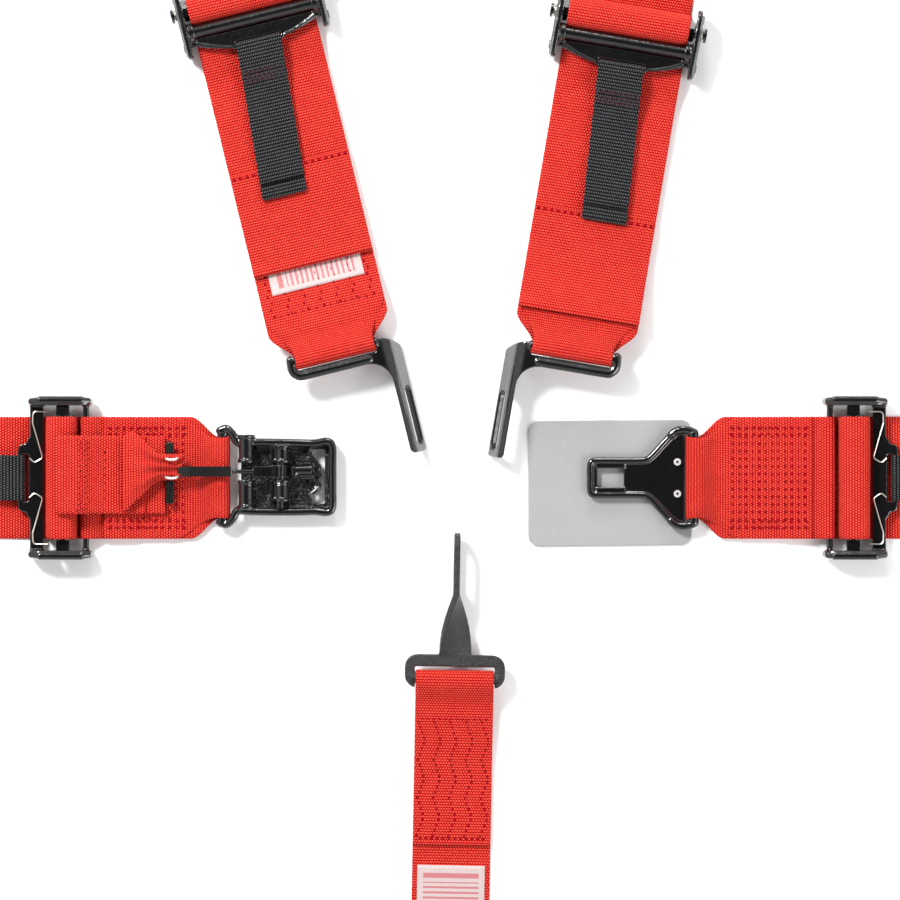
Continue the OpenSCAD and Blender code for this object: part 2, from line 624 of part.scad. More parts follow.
// Lever: a hub on the pin, a short nose, and an arm that reaches over the barrels
module latch_lever() {
    v0 = lever_v - lever_w / 2;
    arm = outline([
        [pivot_x - 5, pivot_z + 2, 1.5], [pivot_x - 6.2, pivot_z - 3, 1.2], [pivot_x, pivot_z - 5, 3],
        [pivot_x + 8, pivot_z + 1, 5], [-18, 13.4, 3], [lever_tip_x, lever_tip_z - 0.8, 0.6],
        [lever_tip_x, lever_tip_z + 1.8, 1.2], [-18, 17, 4], [pivot_x, pivot_z + 5.6, 5]]);
    color(BLACK) difference() {
        union() {
            wall(arm, v0 + 0.8, v0 + lever_w - 0.8);
            barrel(pivot_x, pivot_z, 5, v0, v0 + lever_w);
        }
        barrel(pivot_x, pivot_z, pin_r, v0 - 1, v0 + lever_w + 1);
    }
}

module latch_spring() color(STEEL)
    translate([pivot_x, lever_v + lever_slot / 2 + 0.8, pivot_z]) rotate([-90, 0, 0]) wire(helix(3.4, 3.4, 3), 0.9);

// ---- Release strap: folded webbing tied to the lever's tip ----
module release_strap() {
    end = lap_adjust - 2;
    top = lap_bar_z + wrap_r + 1.5 * web_t + release_gap;
    flat = concat([[end + 4, top], [end - 4, top]], ramp([end - 5, top], [end - 27, release_z + web_t]),
        [[58, release_z + web_t]]);
    color(RED) {
        strip(flat, release_w, 2 * web_t);
        plate(outline([[60, -release_w / 2, 1], [60, release_w / 2, 1], [40, release_w / 2, 3],
            [34, 4, 4], [24, 2, 3], [24, -16, 3], [34, -18, 4], [46, -release_w / 2, 4]]), release_z, release_z + 5.6);
    }
}

grommet_x = 31;
module release_grommets() color(STEEL) for (v = [-14, -1.5])
    translate([grommet_x, v, release_z + 5.6]) rotate_extrude() translate([2.6, 0.8]) circle(r = 0.75, $fn = 16);

module release_tie_across() color(BLACK)
    plate(slab(grommet_x + 0.5 - 2.4, grommet_x + 0.5 + 2.4, -21, 14, 1), release_z + 8, release_z + 9.4);

module release_tie_along() color(BLACK)
    wall(band([[grommet_x - 3.7, release_z + 6.6], [20, release_z + 7.4], [lever_tip_x + 1.2, lever_tip_z + 0.6]], 1.6),
        lever_v - 3.2, lever_v + 3.2);

// ---- Link, on the right lap belt; its tongue runs to -X ----
link_z0 = pad_t + 0.2;
link_z1 = link_z0 + 4.6;
rivet_v = 10;
rivet_x = -far_rail_in - 4.6;

// The tongue plate flares into two arms that hold the bar
module link_plate() {
    half = slot_w / 2 + 6.8;
    side_points = [[-1, half, 3], [-8, half, 5], [-28, tongue_w / 2, 14], [-tongue_len, tongue_w / 2, 4.5]];
    plan = outline(concat(side_points, [for (k = [3 : -1 : 0]) [side_points[k][0], -side_points[k][1], side_points[k][2]]]));
    color(BLACK) {
        difference() {
            union() {
                difference() {
                    plate(plan, link_z0, link_z1);
                    translate([-far_rail_in, -slot_w / 2, -1]) cube([far_rail_in + 9, slot_w, 20]);
                    translate([-4.4, -half - 1, -1]) cube([9, 2 * half + 2, latch_z - 2]);
                }
                for (s = [-1, 1]) plate(outline([[0, s * slot_w / 2, 0], [0, s * half, 2], [-10, s * half, 4],
                    [-12, s * slot_w / 2, 2]]), latch_z - 2.4, latch_z + 2.4);
            }
            translate([-tongue_len + 15, 0, 5]) long_slot(16.4, 11.4, 20);
            for (s = [-1, 1]) translate([rivet_x, s * rivet_v, -1]) cylinder(r = 1.4, h = 20);
        }
        cross_bar(0, latch_z, rail_r, half - 0.2);
    }
}

module link_rivets() color(STEEL) for (s = [-1, 1]) translate([rivet_x, s * rivet_v, 0])
    difference() {
        union() {
            translate([0, 0, 0.1]) cylinder(r = 1.4 - pin_gap, h = link_z1 - 0.1);
            translate([0, 0, link_z1 + 0.02]) cylinder(r = 2.3, h = 0.5);
            translate([0, 0, link_z1 - 0.1]) cylinder(r = 1.4 - pin_gap, h = 0.4);
        }
        translate([0, 0, -1]) cylinder(r = 0.8, h = 20);
    }

module buckle_pad() color("#b9bbbd") difference() {
    plate(slab(-pad_len - 0.6, -0.6, -pad_w / 2 - 3.3, pad_w / 2 - 3.3, 7), 0, pad_t);
    for (s = [-1, 1]) translate([rivet_x, s * rivet_v, -1]) cylinder(r = 1.4, h = 5);
}

// ---- Crotch belt ----
// Ring for the webbing, a neck that turns on edge, and an upright slotted blade
module crotch_link() {
    half = crotch_w / 2 + edge_gap + 6.4;
    outer = far_rail_in + far_rail_w + 1.5;
    turn = 40;
    blade_slot = tongue_slot - 8;
    color(BLACK) {
        difference() {
            plate(slab(-outer, rail_r + 3.2, -half, half, 8), crotch_z - link_t / 2, crotch_z + link_t / 2);
            translate([-far_rail_in - 1.5, -crotch_w / 2 - edge_gap, crotch_z - 5])
                cube([far_rail_in + 12, crotch_w + 2 * edge_gap, 10]);
        }
        cross_bar(0, crotch_z, rail_r, crotch_w / 2 + edge_gap + 3);
        translate([-outer + 2, 0, crotch_z]) rotate([0, -90, 0]) linear_extrude(turn, twist = -90, slices = 22)
            square([link_t, blade_h], center = true);
        difference() {
            wall(outline([[-outer + 3 - turn, crotch_z - blade_h / 2, 0.5], [-outer + 3 - turn, crotch_z + blade_h / 2, 0.5],
                [-crotch_link_len, crotch_z + blade_h / 2, 8], [-crotch_link_len, crotch_z - blade_h / 2, 8]]),
                -link_t / 2, link_t / 2);
            translate([-crotch_link_len + 4.5 + blade_slot / 2, 0, crotch_z]) rotate([90, 0, 0])
                long_slot(blade_slot, tongue_slot_h, 20);
        }
    }
}

function crotch_run(x) = settle(x, crotch_z) + pitch * ease((x - slide_x + 75) / 15);

slide_bar_half = 2;
slide_pitch = 9;
slide_z = level(1) + web_t / 2 + 0.35 + 1.25;

function crotch_path() = let (bar = crotch_bolt - anchor_len, hump = slide_z + 1.25 + 0.35 + web_t / 2) concat(
    [[crotch_sewn, level(1)]],
    settled(settle_len, 24, pitch, crotch_z),
    ramp([18, settle(18, crotch_z) + pitch], [1.5, crotch_z + eye_r - 0.1]),
    arc([0, crotch_z], eye_r, 90, 270, 14),
    [for (x = [3 : 8 : settle_len + 8]) [x, crotch_run(x)]],
    [for (x = [slide_x - 75 : 3 : slide_x - 60]) [x, crotch_run(x)]],
    ramp([slide_x - slide_pitch + 2, level(1)], [slide_x - slide_bar_half, hump], 6),
    ramp([slide_x + slide_bar_half, hump], [slide_x + slide_pitch - 2, level(1)], 6),
    ramp([bar - 16, level(1)], [bar - 1.5, anchor_z + eye_r - 0.1]),
    arc([bar, anchor_z], eye_r, 90, -90, 14),
    [[slide_x - 45, level(0)]]);

module crotch_strap() color(RED) strip(crotch_path(), crotch_w);

module crotch_label() color(WHITE)
    strip([for (k = [0 : 6]) let (x = crotch_sewn + 12.5 + crotch_label_len * k / 6)
        [x, crotch_run(x) + web_t / 2 + 0.25]], crotch_label_w, 0.3);

// Three-bar slide that sets the crotch belt's length
module crotch_slide() {
    half = crotch_w / 2 + edge_gap + 4;
    slot = slide_pitch - slide_bar_half - 0.2;
    color(BLACK) difference() {
        plate(slab(slide_x - slide_pitch - 4, slide_x + slide_pitch + 4, -half, half, 4), slide_z - 1.25, slide_z + 1.25);
        for (s = [-1, 1]) translate([slide_x + s * (slide_bar_half + slot / 2), 0, slide_z])
            cube([slot, crotch_w + 2 * edge_gap, 10], center = true);
    }
}

// ---- The nodes ----
module shoulder_link_left() at_left_shoulder() mirror([0, 1, 0]) shoulder_link();
module shoulder_link_right() at_right_shoulder() shoulder_link();
module left_adjuster_frame() at_left_shoulder() translate([left_adjust, 0, 0]) children();
module right_adjuster_frame() at_right_shoulder() translate([right_adjust, 0, 0]) children();

shoulder_link_left();
at_left_shoulder() shoulder_strap_lower(left_adjust);  // shoulder_strap_lower_left
at_left_shoulder()  // shoulder_strap_upper_left
    shoulder_strap_upper(left_adjust, left_fold, left_shoulder_bolt);
left_adjuster_frame() shoulder_adjuster();  // shoulder_adjuster_left
left_adjuster_frame() shoulder_fixed_bar();  // shoulder_fixed_bar_left
left_adjuster_frame() shoulder_slide_bar();  // shoulder_slide_bar_left
left_adjuster_frame() shoulder_bar_screws();  // shoulder_bar_screws_left
left_adjuster_frame() shoulder_bar_nuts();  // shoulder_bar_nuts_left
left_adjuster_frame() shoulder_bar_springs();  // shoulder_bar_springs_left
left_adjuster_frame() shoulder_pull_strap();  // shoulder_pull_strap_left
at_left_shoulder()  // shoulder_anchor_left
    translate([left_shoulder_bolt, 0, 0]) anchor_bracket();
at_left_shoulder() shoulder_label();
shoulder_link_right();
at_right_shoulder() shoulder_strap_lower(right_adjust);  // shoulder_strap_lower_right
at_right_shoulder()  // shoulder_strap_upper_right
    shoulder_strap_upper(right_adjust, right_fold, right_shoulder_bolt);
right_adjuster_frame() shoulder_adjuster();  // shoulder_adjuster_right
right_adjuster_frame() shoulder_fixed_bar();  // shoulder_fixed_bar_right
right_adjuster_frame() shoulder_slide_bar();  // shoulder_slide_bar_right
right_adjuster_frame() shoulder_bar_screws();  // shoulder_bar_screws_right
right_adjuster_frame() shoulder_bar_nuts();  // shoulder_bar_nuts_right
right_adjuster_frame() shoulder_bar_springs();  // shoulder_bar_springs_right
right_adjuster_frame() shoulder_pull_strap();  // shoulder_pull_strap_right
at_right_shoulder()  // shoulder_anchor_right
    translate([right_shoulder_bolt, 0, 0]) anchor_bracket();
at_left_lap() lap_inner_strap();  // lap_inner_strap_left
at_left_lap() lap_outer_strap(left_lap_bolt);  // lap_outer_strap_left
at_left_lap() lap_adjuster();  // lap_adjuster_left
at_left_lap() lap_slide_bar();  // lap_slide_bar_left
at_left_lap() lap_wire_spring();  // lap_wire_spring_left
at_left_lap() lap_pull_strap();  // lap_pull_strap_left
at_left_lap() translate([left_lap_bolt, 0, 0]) anchor_bracket();  // lap_anchor_left
at_right_lap() lap_inner_strap();  // lap_inner_strap_right
at_right_lap() lap_outer_strap(right_lap_bolt);  // lap_outer_strap_right
at_right_lap() lap_adjuster();  // lap_adjuster_right
at_right_lap() lap_slide_bar();  // lap_slide_bar_right
at_right_lap() lap_wire_spring();  // lap_wire_spring_right
at_right_lap() lap_pull_strap();  // lap_pull_strap_right
at_right_lap() translate([right_lap_bolt, 0, 0]) anchor_bracket();  // lap_anchor_right
at_left_lap() latch_body();
at_left_lap() latch_lever();
at_left_lap() latch_pivot_pin();
at_left_lap() latch_spring();
at_left_lap() release_strap();
at_left_lap() release_grommets();
at_left_lap() release_tie_across();
at_left_lap() release_tie_along();
at_right_lap() link_plate();
at_right_lap() link_rivets();
at_right_lap() buckle_pad();
at_crotch() crotch_link();
at_crotch() crotch_strap();
at_crotch() crotch_label();
at_crotch() crotch_slide();
at_crotch() translate([crotch_bolt, 0, 0]) anchor_bracket();  // crotch_anchor
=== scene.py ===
# %% [markdown]
# # A racing harness, laid out flat
# The harness is five separate belts: two over the shoulders, two across the lap and one between the
# legs. A CAD model already fixes where each bar, bolt and buckle is. This lesson dresses it: real
# webbing, stitches, coated steel and wire, all placed from that model and never beside it.

# %% Load the frame
import json
import math

import bmesh
import bpy
from mathutils import Matrix, Vector, noise


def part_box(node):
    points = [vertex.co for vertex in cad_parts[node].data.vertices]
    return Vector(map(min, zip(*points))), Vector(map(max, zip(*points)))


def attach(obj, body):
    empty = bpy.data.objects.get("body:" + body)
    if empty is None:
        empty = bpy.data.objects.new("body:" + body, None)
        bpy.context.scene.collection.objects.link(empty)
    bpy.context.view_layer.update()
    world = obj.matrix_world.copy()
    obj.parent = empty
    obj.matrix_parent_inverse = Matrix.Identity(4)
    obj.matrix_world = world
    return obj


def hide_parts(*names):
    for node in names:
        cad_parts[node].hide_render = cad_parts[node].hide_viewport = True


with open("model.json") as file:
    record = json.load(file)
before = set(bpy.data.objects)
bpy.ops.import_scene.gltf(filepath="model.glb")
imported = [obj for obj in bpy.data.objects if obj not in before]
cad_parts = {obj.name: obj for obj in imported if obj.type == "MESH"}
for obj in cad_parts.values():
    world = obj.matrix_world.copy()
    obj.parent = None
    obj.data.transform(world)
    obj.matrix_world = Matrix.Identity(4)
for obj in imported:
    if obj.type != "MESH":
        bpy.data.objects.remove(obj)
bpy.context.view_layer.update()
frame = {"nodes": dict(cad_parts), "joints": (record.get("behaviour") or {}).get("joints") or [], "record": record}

joints = {j["name"]: j for j in frame["joints"]}
mounts = {m["name"]: m for m in frame["record"]["mounts"]}
MM = 0.001

# %% [markdown]
# ## A frame for each belt
# Every belt is drawn the same way, from its buckle bar outwards, so each gets a frame of its own: out
# along the belt, across it, and up. The two hinges at its ends give the frame, so nothing is measured
# twice. Lengths inside a belt are in millimetres, and `place` turns them into metres.


# %% Belt frames
class Belt:
    """out, across and up for one belt, with its buckle bar and its anchor's bar."""

    def __init__(self, buckle_hinge, anchor_hinge, bolt):
        bar = Vector(joints[buckle_hinge]["pos_m"])
        far = Vector(joints[anchor_hinge]["pos_m"])
        self.root = Vector((bar.x, bar.y, 0))
        self.out = (Vector((far.x, far.y, 0)) - self.root).normalized()
        self.across = Vector((-self.out.y, self.out.x, 0))
        self.bar_z = bar.z / MM
        self.anchor = self.local(far)[0]
        self.anchor_z = far.z / MM
        self.bolt = self.local(Vector(mounts[bolt]["pos_m"]))[0]
        self.matrix = Matrix.Translation(self.root) @ Matrix((
            (self.out.x, self.across.x, 0, 0), (self.out.y, self.across.y, 0, 0), (0, 0, 1, 0), (0, 0, 0, 1)))

    def place(self, u, v, z):
        return self.root + (self.out * u + self.across * v + Vector((0, 0, z))) * MM

    def local(self, point):
        d = point - self.root
        return d.dot(self.out) / MM, d.dot(self.across) / MM, point.z / MM


belts = {
    "lap_left": Belt("latch_hinge", "lap_anchor_left_hinge", "lap_left_bolt"),
    "lap_right": Belt("link_hinge", "lap_anchor_right_hinge", "lap_right_bolt"),
    "shoulder_left": Belt("shoulder_link_left_hinge", "shoulder_anchor_left_hinge", "shoulder_left_bolt"),
    "shoulder_right": Belt("shoulder_link_right_hinge", "shoulder_anchor_right_hinge", "shoulder_right_bolt"),
    "crotch": Belt("crotch_link_hinge", "crotch_anchor_hinge", "crotch_bolt"),
}
for belt_name, belt in belts.items():
    print(belt_name, "runs", round(belt.anchor), "mm between its bars")

# %% [markdown]
# ## Camera and light
# The belts lie on a table and are looked at from straight above. A long lens from far off keeps the
# thick hardware from leaning outwards. The light is one big soft source high on the left, a weaker one
# opposite, and a bright surround, which is what a gloss black part needs to show its edges. Straight
# overhead the surround is dark, as under a ceiling, so flat black faces stay black.

# %% Camera, floor and lights
VIEW_WIDTH = 0.567
CAMERA_HEIGHT = 2.4
SENSOR = 36.0
scene = bpy.context.scene
collection = scene.collection


def add(name, data):
    obj = bpy.data.objects.new(name, data)
    collection.objects.link(obj)
    return obj


camera_data = bpy.data.cameras.new("camera")
camera_data.sensor_width = SENSOR
camera_data.lens = SENSOR * CAMERA_HEIGHT / VIEW_WIDTH
camera_data.clip_end = 20
camera = add("camera", camera_data)
camera.location = (0, 0, CAMERA_HEIGHT)
scene.camera = camera


def area_light(name, place, size, watts):
    lamp = bpy.data.lights.new(name, "AREA")
    lamp.shape = "DISK"
    lamp.size = size
    lamp.energy = watts
    obj = add(name, lamp)
    obj.location = place
    obj.rotation_euler = (-Vector(place)).to_track_quat("-Z", "Y").to_euler()
    return obj


area_light("key", (-1.0, 1.1, 1.35), 0.5, 52)
area_light("fill", (1.4, -0.8, 1.2), 1.3, 22)
area_light("strip", (0.1, 1.7, 0.7), 0.5, 12)

surround = bpy.data.worlds.new("surround")
surround.use_nodes = True
sky = surround.node_tree
sky_split = sky.nodes.new("ShaderNodeSeparateXYZ")
sky.links.new(sky.nodes.new("ShaderNodeTexCoord").outputs["Generated"], sky_split.inputs[0])
sky_ramp = sky.nodes.new("ShaderNodeMapRange")
sky.links.new(sky_split.outputs["Z"], sky_ramp.inputs["Value"])
for label, value in (("From Min", 0.72), ("From Max", 0.95), ("To Min", 0.8), ("To Max", 0.03)):
    sky_ramp.inputs[label].default_value = value
sky.nodes["Background"].inputs["Color"].default_value = (1, 1, 1, 1)
sky.links.new(sky_ramp.outputs[0], sky.nodes["Background"].inputs["Strength"])
scene.world = surround
scene.view_settings.view_transform = "Standard"
print("camera at", tuple(camera.location), "lens", round(camera_data.lens))

# %% [markdown]
# ## Small helpers for materials
# Each material is a Principled shader with a few nodes in front of it. The effects that several
# materials share, such as the weave and the fine unevenness of a coating, are node groups with named
# inputs. They give out only masks and heights, so the shader itself stays in the material.


# %% Material helpers
def new_group(name, inputs, outputs):
    group = bpy.data.node_groups.new(name, "ShaderNodeTree")
    for label, kind, value in inputs:
        socket = group.interface.new_socket(label, in_out="INPUT", socket_type=kind)
        if value is not None:
            socket.default_value = value
    for label, kind in outputs:
        group.interface.new_socket(label, in_out="OUTPUT", socket_type=kind)
    return group, group.nodes.new("NodeGroupInput"), group.nodes.new("NodeGroupOutput")


def joiner(tree):
    """A function that adds one node, wires its inputs and gives back its first output."""

    def node(kind, *values, **settings):
        n = tree.nodes.new(kind)
        for key, value in settings.items():
            setattr(n, key, value)
        for i, value in enumerate(values):
            if value is None:
                continue
            if isinstance(value, bpy.types.NodeSocket):
                tree.links.new(value, n.inputs[i])
            else:
                n.inputs[i].default_value = value
        return n.outputs[0]

    return node


def maths(tree):
    node = joiner(tree)

    def do(operation, *values):
        return node("ShaderNodeMath", *values, operation=operation)

    return do


def new_material(name, roughness, metallic=0.0, **sockets):
    material = bpy.data.materials.new(name)
    material.use_nodes = True
    shader = material.node_tree.nodes["Principled BSDF"]
    shader.inputs["Roughness"].default_value = roughness
    shader.inputs["Metallic"].default_value = metallic
    for label, value in sockets.items():
        shader.inputs[label.replace("_", " ")].default_value = value
    return material, material.node_tree, shader


def bump(tree, shader, height, distance, strength=1.0):
    n = tree.nodes.new("ShaderNodeBump")
    n.inputs["Strength"].default_value = strength
    n.inputs["Distance"].default_value = distance
    tree.links.new(height, n.inputs["Height"])
    tree.links.new(n.outputs["Normal"], shader.inputs["Normal"])


print("material helpers ready")

# %% [markdown]
# ## The weave
# Seat belt webbing is a dense rib weave. Ribs cross the belt every millimetre and a half, and each rib
# is broken into little knuckles by the warp threads, which step sideways from one rib to the next. Two
# sine waves make that: one along the belt, and one across it whose start shifts on every other rib.
# The webbing's own UV map is in metres, so the threads follow every fold. The group also gives a
# mask of the low places between knuckles, where shade is painted into the webbing's colour.


# %% Weave group
weave, w_in, w_out = new_group("weave", [
    ("Place", "NodeSocketVector", None),
    ("Rib", "NodeSocketFloat", 0.0014),
    ("Warp", "NodeSocketFloat", 0.0011),
    ("Knuckle", "NodeSocketFloat", 0.5),
], [("Height", "NodeSocketFloat"), ("Valley shade", "NodeSocketFloat")])
w_do = maths(weave)
w_split = weave.nodes.new("ShaderNodeSeparateXYZ")
weave.links.new(w_in.outputs["Place"], w_split.inputs[0])
along = w_do("DIVIDE", w_split.outputs["X"], w_in.outputs["Rib"])
sideways = w_do("DIVIDE", w_split.outputs["Y"], w_in.outputs["Warp"])
odd = w_do("MULTIPLY", w_do("MODULO", w_do("FLOOR", w_do("ADD", along, 4000.0)), 2.0), 0.5)
rib = w_do("SINE", w_do("MULTIPLY", w_do("FRACT", along), math.pi))
thread = w_do("SINE", w_do("MULTIPLY", w_do("FRACT", w_do("ADD", sideways, odd)), math.pi))
knuckled = w_do("ADD", w_do("MULTIPLY", thread, w_in.outputs["Knuckle"]),
                w_do("SUBTRACT", 1.0, w_in.outputs["Knuckle"]))
w_height = w_do("MULTIPLY", rib, knuckled)
weave.links.new(w_height, w_out.inputs["Height"])
# Valley shade: a mask of the low places between knuckles, for shade painted into the colour.
weave.links.new(w_do("POWER", w_do("SUBTRACT", 1.0, w_height), 1.1), w_out.inputs["Valley shade"])
print("weave group:", len(weave.nodes), "nodes")


# %% Webbing materials
def webbing_material(name, bright, dark, rib, warp, knuckle, depth, roughness, sheen, sheen_tint):
    material, tree, shader = new_material(name, roughness, Sheen_Weight=sheen, Sheen_Roughness=0.35)
    shader.inputs["Sheen Tint"].default_value = (*sheen_tint, 1)
    shader.inputs["Specular IOR Level"].default_value = 0.08
    node = joiner(tree)
    do = maths(tree)
    uv = tree.nodes.new("ShaderNodeUVMap")
    uv.uv_map = "weave"
    group = tree.nodes.new("ShaderNodeGroup")
    group.node_tree = weave
    tree.links.new(uv.outputs["UV"], group.inputs["Place"])
    group.inputs["Rib"].default_value = rib
    group.inputs["Warp"].default_value = warp
    group.inputs["Knuckle"].default_value = knuckle
    spread = node("ShaderNodeTexNoise", uv.outputs["UV"], None, 90.0, 4.0)
    # Painted shade: in the weave's valleys the colour goes towards the dark colour, varied by noise.
    painted_valley_shade = do("MULTIPLY", group.outputs["Valley shade"], do("ADD", 0.95, do("MULTIPLY", spread, 0.7)))
    sealed = tree.nodes.new("ShaderNodeAttribute")
    sealed.attribute_name = "sealed"
    mix = tree.nodes.new("ShaderNodeMix")
    mix.data_type = "RGBA"
    tree.links.new(do("MAXIMUM", painted_valley_shade, sealed.outputs["Fac"]), mix.inputs["Factor"])
    mix.inputs["A"].default_value = (*bright, 1)
    mix.inputs["B"].default_value = (*dark, 1)
    tree.links.new(mix.outputs["Result"], shader.inputs["Base Color"])
    bump(tree, shader, group.outputs["Height"], depth)
    return material


# Each webbing's second colour is the shade painted into its weave valleys.
RED_WEB = webbing_material("red_webbing", (0.92, 0.105, 0.066), (0.47, 0.0005, 0.004),
                           0.0017, 0.0017, 0.85, 0.0009, 0.62, 0.04, (1.0, 0.5, 0.3))
BLACK_WEB = webbing_material("black_webbing", (0.090, 0.092, 0.097), (0.0015, 0.0015, 0.0015),
                             0.0021, 0.0015, 0.8, 0.0012, 0.5, 0.05, (0.8, 0.85, 1.0))
print("webbing materials made")

# %% [markdown]
# ## Coated steel
# The buckles are steel with a thick black coat. Up close a coat is never flat: it has a slow waviness
# that bends the reflections, and a fine grain where the casting under it is rough. One group gives both
# from Object coordinates, and each part chooses how much it wants.

# %% Coating group
coating, c_in, c_out = new_group("coating", [
    ("Wave size", "NodeSocketFloat", 220.0), ("Grain size", "NodeSocketFloat", 1500.0),
    ("Grain", "NodeSocketFloat", 0.2)], [("Height", "NodeSocketFloat"), ("Patch", "NodeSocketFloat")])
c_node = joiner(coating)
c_do = maths(coating)
c_place = coating.nodes.new("ShaderNodeTexCoord").outputs["Object"]
wave = c_node("ShaderNodeTexNoise", c_place, None, c_in.outputs["Wave size"], 2.0)
grain = c_node("ShaderNodeTexNoise", c_place, None, c_in.outputs["Grain size"], 2.0)
coating.links.new(c_do("ADD", wave, c_do("MULTIPLY", grain, c_in.outputs["Grain"])), c_out.inputs["Height"])
coating.links.new(c_node("ShaderNodeTexNoise", c_place, None, 60.0, 3.0), c_out.inputs["Patch"])


def coated_material(name, colour, roughness, grain, depth, coat=0.0, grain_size=1500.0, metallic=0.0):
    material, tree, shader = new_material(name, roughness, metallic, Coat_Weight=coat, Coat_Roughness=0.08)
    do = maths(tree)
    group = tree.nodes.new("ShaderNodeGroup")
    group.node_tree = coating
    group.inputs["Grain"].default_value = grain
    group.inputs["Grain size"].default_value = grain_size
    shader.inputs["Base Color"].default_value = (*colour, 1)
    vary = do("ADD", do("MULTIPLY", group.outputs["Patch"], 0.2), roughness - 0.1)
    tree.links.new(vary, shader.inputs["Roughness"])
    bump(tree, shader, group.outputs["Height"], depth)
    return material


BLACK_COAT = coated_material("gloss_black_coat", (0.004, 0.004, 0.0045), 0.2, 0.08, 0.0003, 0.8)
CAST_BLACK = coated_material("cast_black_coat", (0.006, 0.006, 0.006), 0.22, 2.2, 0.0011, 0.5, 620.0)
SATIN_BLACK = coated_material("textured_black_coat", (0.010, 0.010, 0.010), 0.36, 1.6, 0.0006, 0.0, 900.0)
BRIGHT_WIRE = coated_material("drawn_wire", (0.66, 0.62, 0.56), 0.36, 0.3, 0.0001, 0.0, 900.0, 1.0)
NICKEL = coated_material("nickel_plate", (0.80, 0.78, 0.75), 0.42, 0.1, 0.0001, 0.0, 900.0, 0.7)
TIE_BLACK = coated_material("black_nylon", (0.006, 0.006, 0.006), 0.34, 0.2, 0.0001)
GREY_PAD = coated_material("grey_vinyl", (0.42, 0.425, 0.43), 0.5, 0.25, 0.00015, 0.0, 500.0)
THREAD_RED = coated_material("red_thread", (0.30, 0.002, 0.008), 0.6, 0.5, 0.0001)
# Painted shade: a dark dot set where a needle hole is, for the shade inside it.
NEEDLE_HOLE_SHADE = coated_material("needle_hole_shade", (0.10, 0.0005, 0.002), 0.9, 0.5, 0.0001)
THREAD_LIGHT = coated_material("white_thread", (0.70, 0.66, 0.66), 0.6, 0.5, 0.0001)
THREAD_BLACK = coated_material("black_thread", (0.035, 0.035, 0.04), 0.6, 0.5, 0.0001)
for thread in (THREAD_RED, NEEDLE_HOLE_SHADE, THREAD_BLACK, THREAD_LIGHT):
    thread.node_tree.nodes["Principled BSDF"].inputs["Specular IOR Level"].default_value = 0.08
print("coatings made:", [m.name for m in bpy.data.materials if m.use_nodes])

# %% Floor
FLOOR_DROP = 0.0003
FLOOR_HALF = 6
floor_material, _, floor_shader = new_material("pale_floor", 0.9)
floor_shader.inputs["Base Color"].default_value = (0.94, 0.94, 0.94, 1)
floor_mesh = bpy.data.meshes.new("floor")
floor_corners = [(x * FLOOR_HALF, y * FLOOR_HALF, -FLOOR_DROP) for x, y in ((-1, -1), (1, -1), (1, 1), (-1, 1))]
floor_mesh.from_pydata(floor_corners, [], [(0, 1, 2, 3)])
floor_mesh.materials.append(floor_material)
add("floor", floor_mesh)
print("floor laid")

# %% [markdown]
# ## Webbing from its side view
# A belt seen from the side is one line that runs along the floor, round bars and back on itself. Drawing
# that line is all that is needed: `ribbon` gives it thickness and width, rounds the woven edges, and
# writes a UV map in metres. Cloth simulation would lose such flat, stiff straps, so they are built
# directly, with pleats pushed into them where they narrow to pass a bar.

# %% Sizes of the webbing
WEB_T = 1.4
LAYER_GAP = 0.1
PITCH = WEB_T + LAYER_GAP
WEB_W = 76.2
PINCH_W = 50.0
PINCH_START = 3.0
PINCH_LEN = 20.0
EYE_R = 3.25 + 0.35 + WEB_T / 2
SMALL_EYE_R = 2.0 + 0.35 + WEB_T / 2
BAR_R = 6.7
BAR_TRAVEL = 2.5
WRAP_R = BAR_R + 0.35 + WEB_T / 2
ROLL_HALF = WRAP_R + BAR_TRAVEL / 2
BEND_R = WEB_T / 2 + 1.8
FOLD_R = WEB_T / 2 + 0.4
SETTLE_LEN = 70.0
ANCHOR_SEWN = 55.0


def level(k):
    return WEB_T / 2 + k * PITCH


def ease(x):
    s = min(max(x, 0.0), 1.0)
    return s * s * (3 - 2 * s)


def arc(cx, cz, r, start, end, n=16):
    turns = [math.radians(start + (end - start) * k / n) for k in range(n + 1)]
    return [(cx + r * math.cos(a), cz + r * math.sin(a)) for a in turns]


def ramp(a, b, n=12):
    return [(a[0] + (b[0] - a[0]) * k / n, a[1] + (b[1] - a[1]) * ease(k / n)) for k in range(n + 1)]


print("webbing", WEB_W, "mm wide and", WEB_T, "mm thick")


# %% Ribbon
def resample(path, step):
    """Points (u, z, s) along path, about step apart, where s is the length run so far."""
    runs = [math.dist(a, b) for a, b in zip(path, path[1:])]
    total = sum(runs)
    count = max(2, round(total / step))
    result = []
    i = 0
    done = 0.0
    for k in range(count + 1):
        s = total * k / count
        while i < len(runs) - 1 and done + runs[i] < s:
            done += runs[i]
            i += 1
        f = min(1.0, (s - done) / runs[i]) if runs[i] else 0.0
        a, b = path[i], path[i + 1]
        result.append((a[0] + (b[0] - a[0]) * f, a[1] + (b[1] - a[1]) * f, s))
    return result


def narrowed(bar, start=PINCH_START, reach=PINCH_LEN):
    """Half the webbing's width, narrowed to pass the bar at u = bar."""
    grow = (WEB_W - PINCH_W) / 2
    return lambda u, s: PINCH_W / 2 + grow * ease((abs(u - bar) - start) / reach)


def folded_width(turn):
    """Half width of webbing folded round the buckle bar: the upper layer, past turn, is gathered further."""
    under, over = narrowed(0, 1, 19), narrowed(0, 4, 26)
    return lambda u, s: over(u, s) if s > turn and u >= 0 else under(u, s)


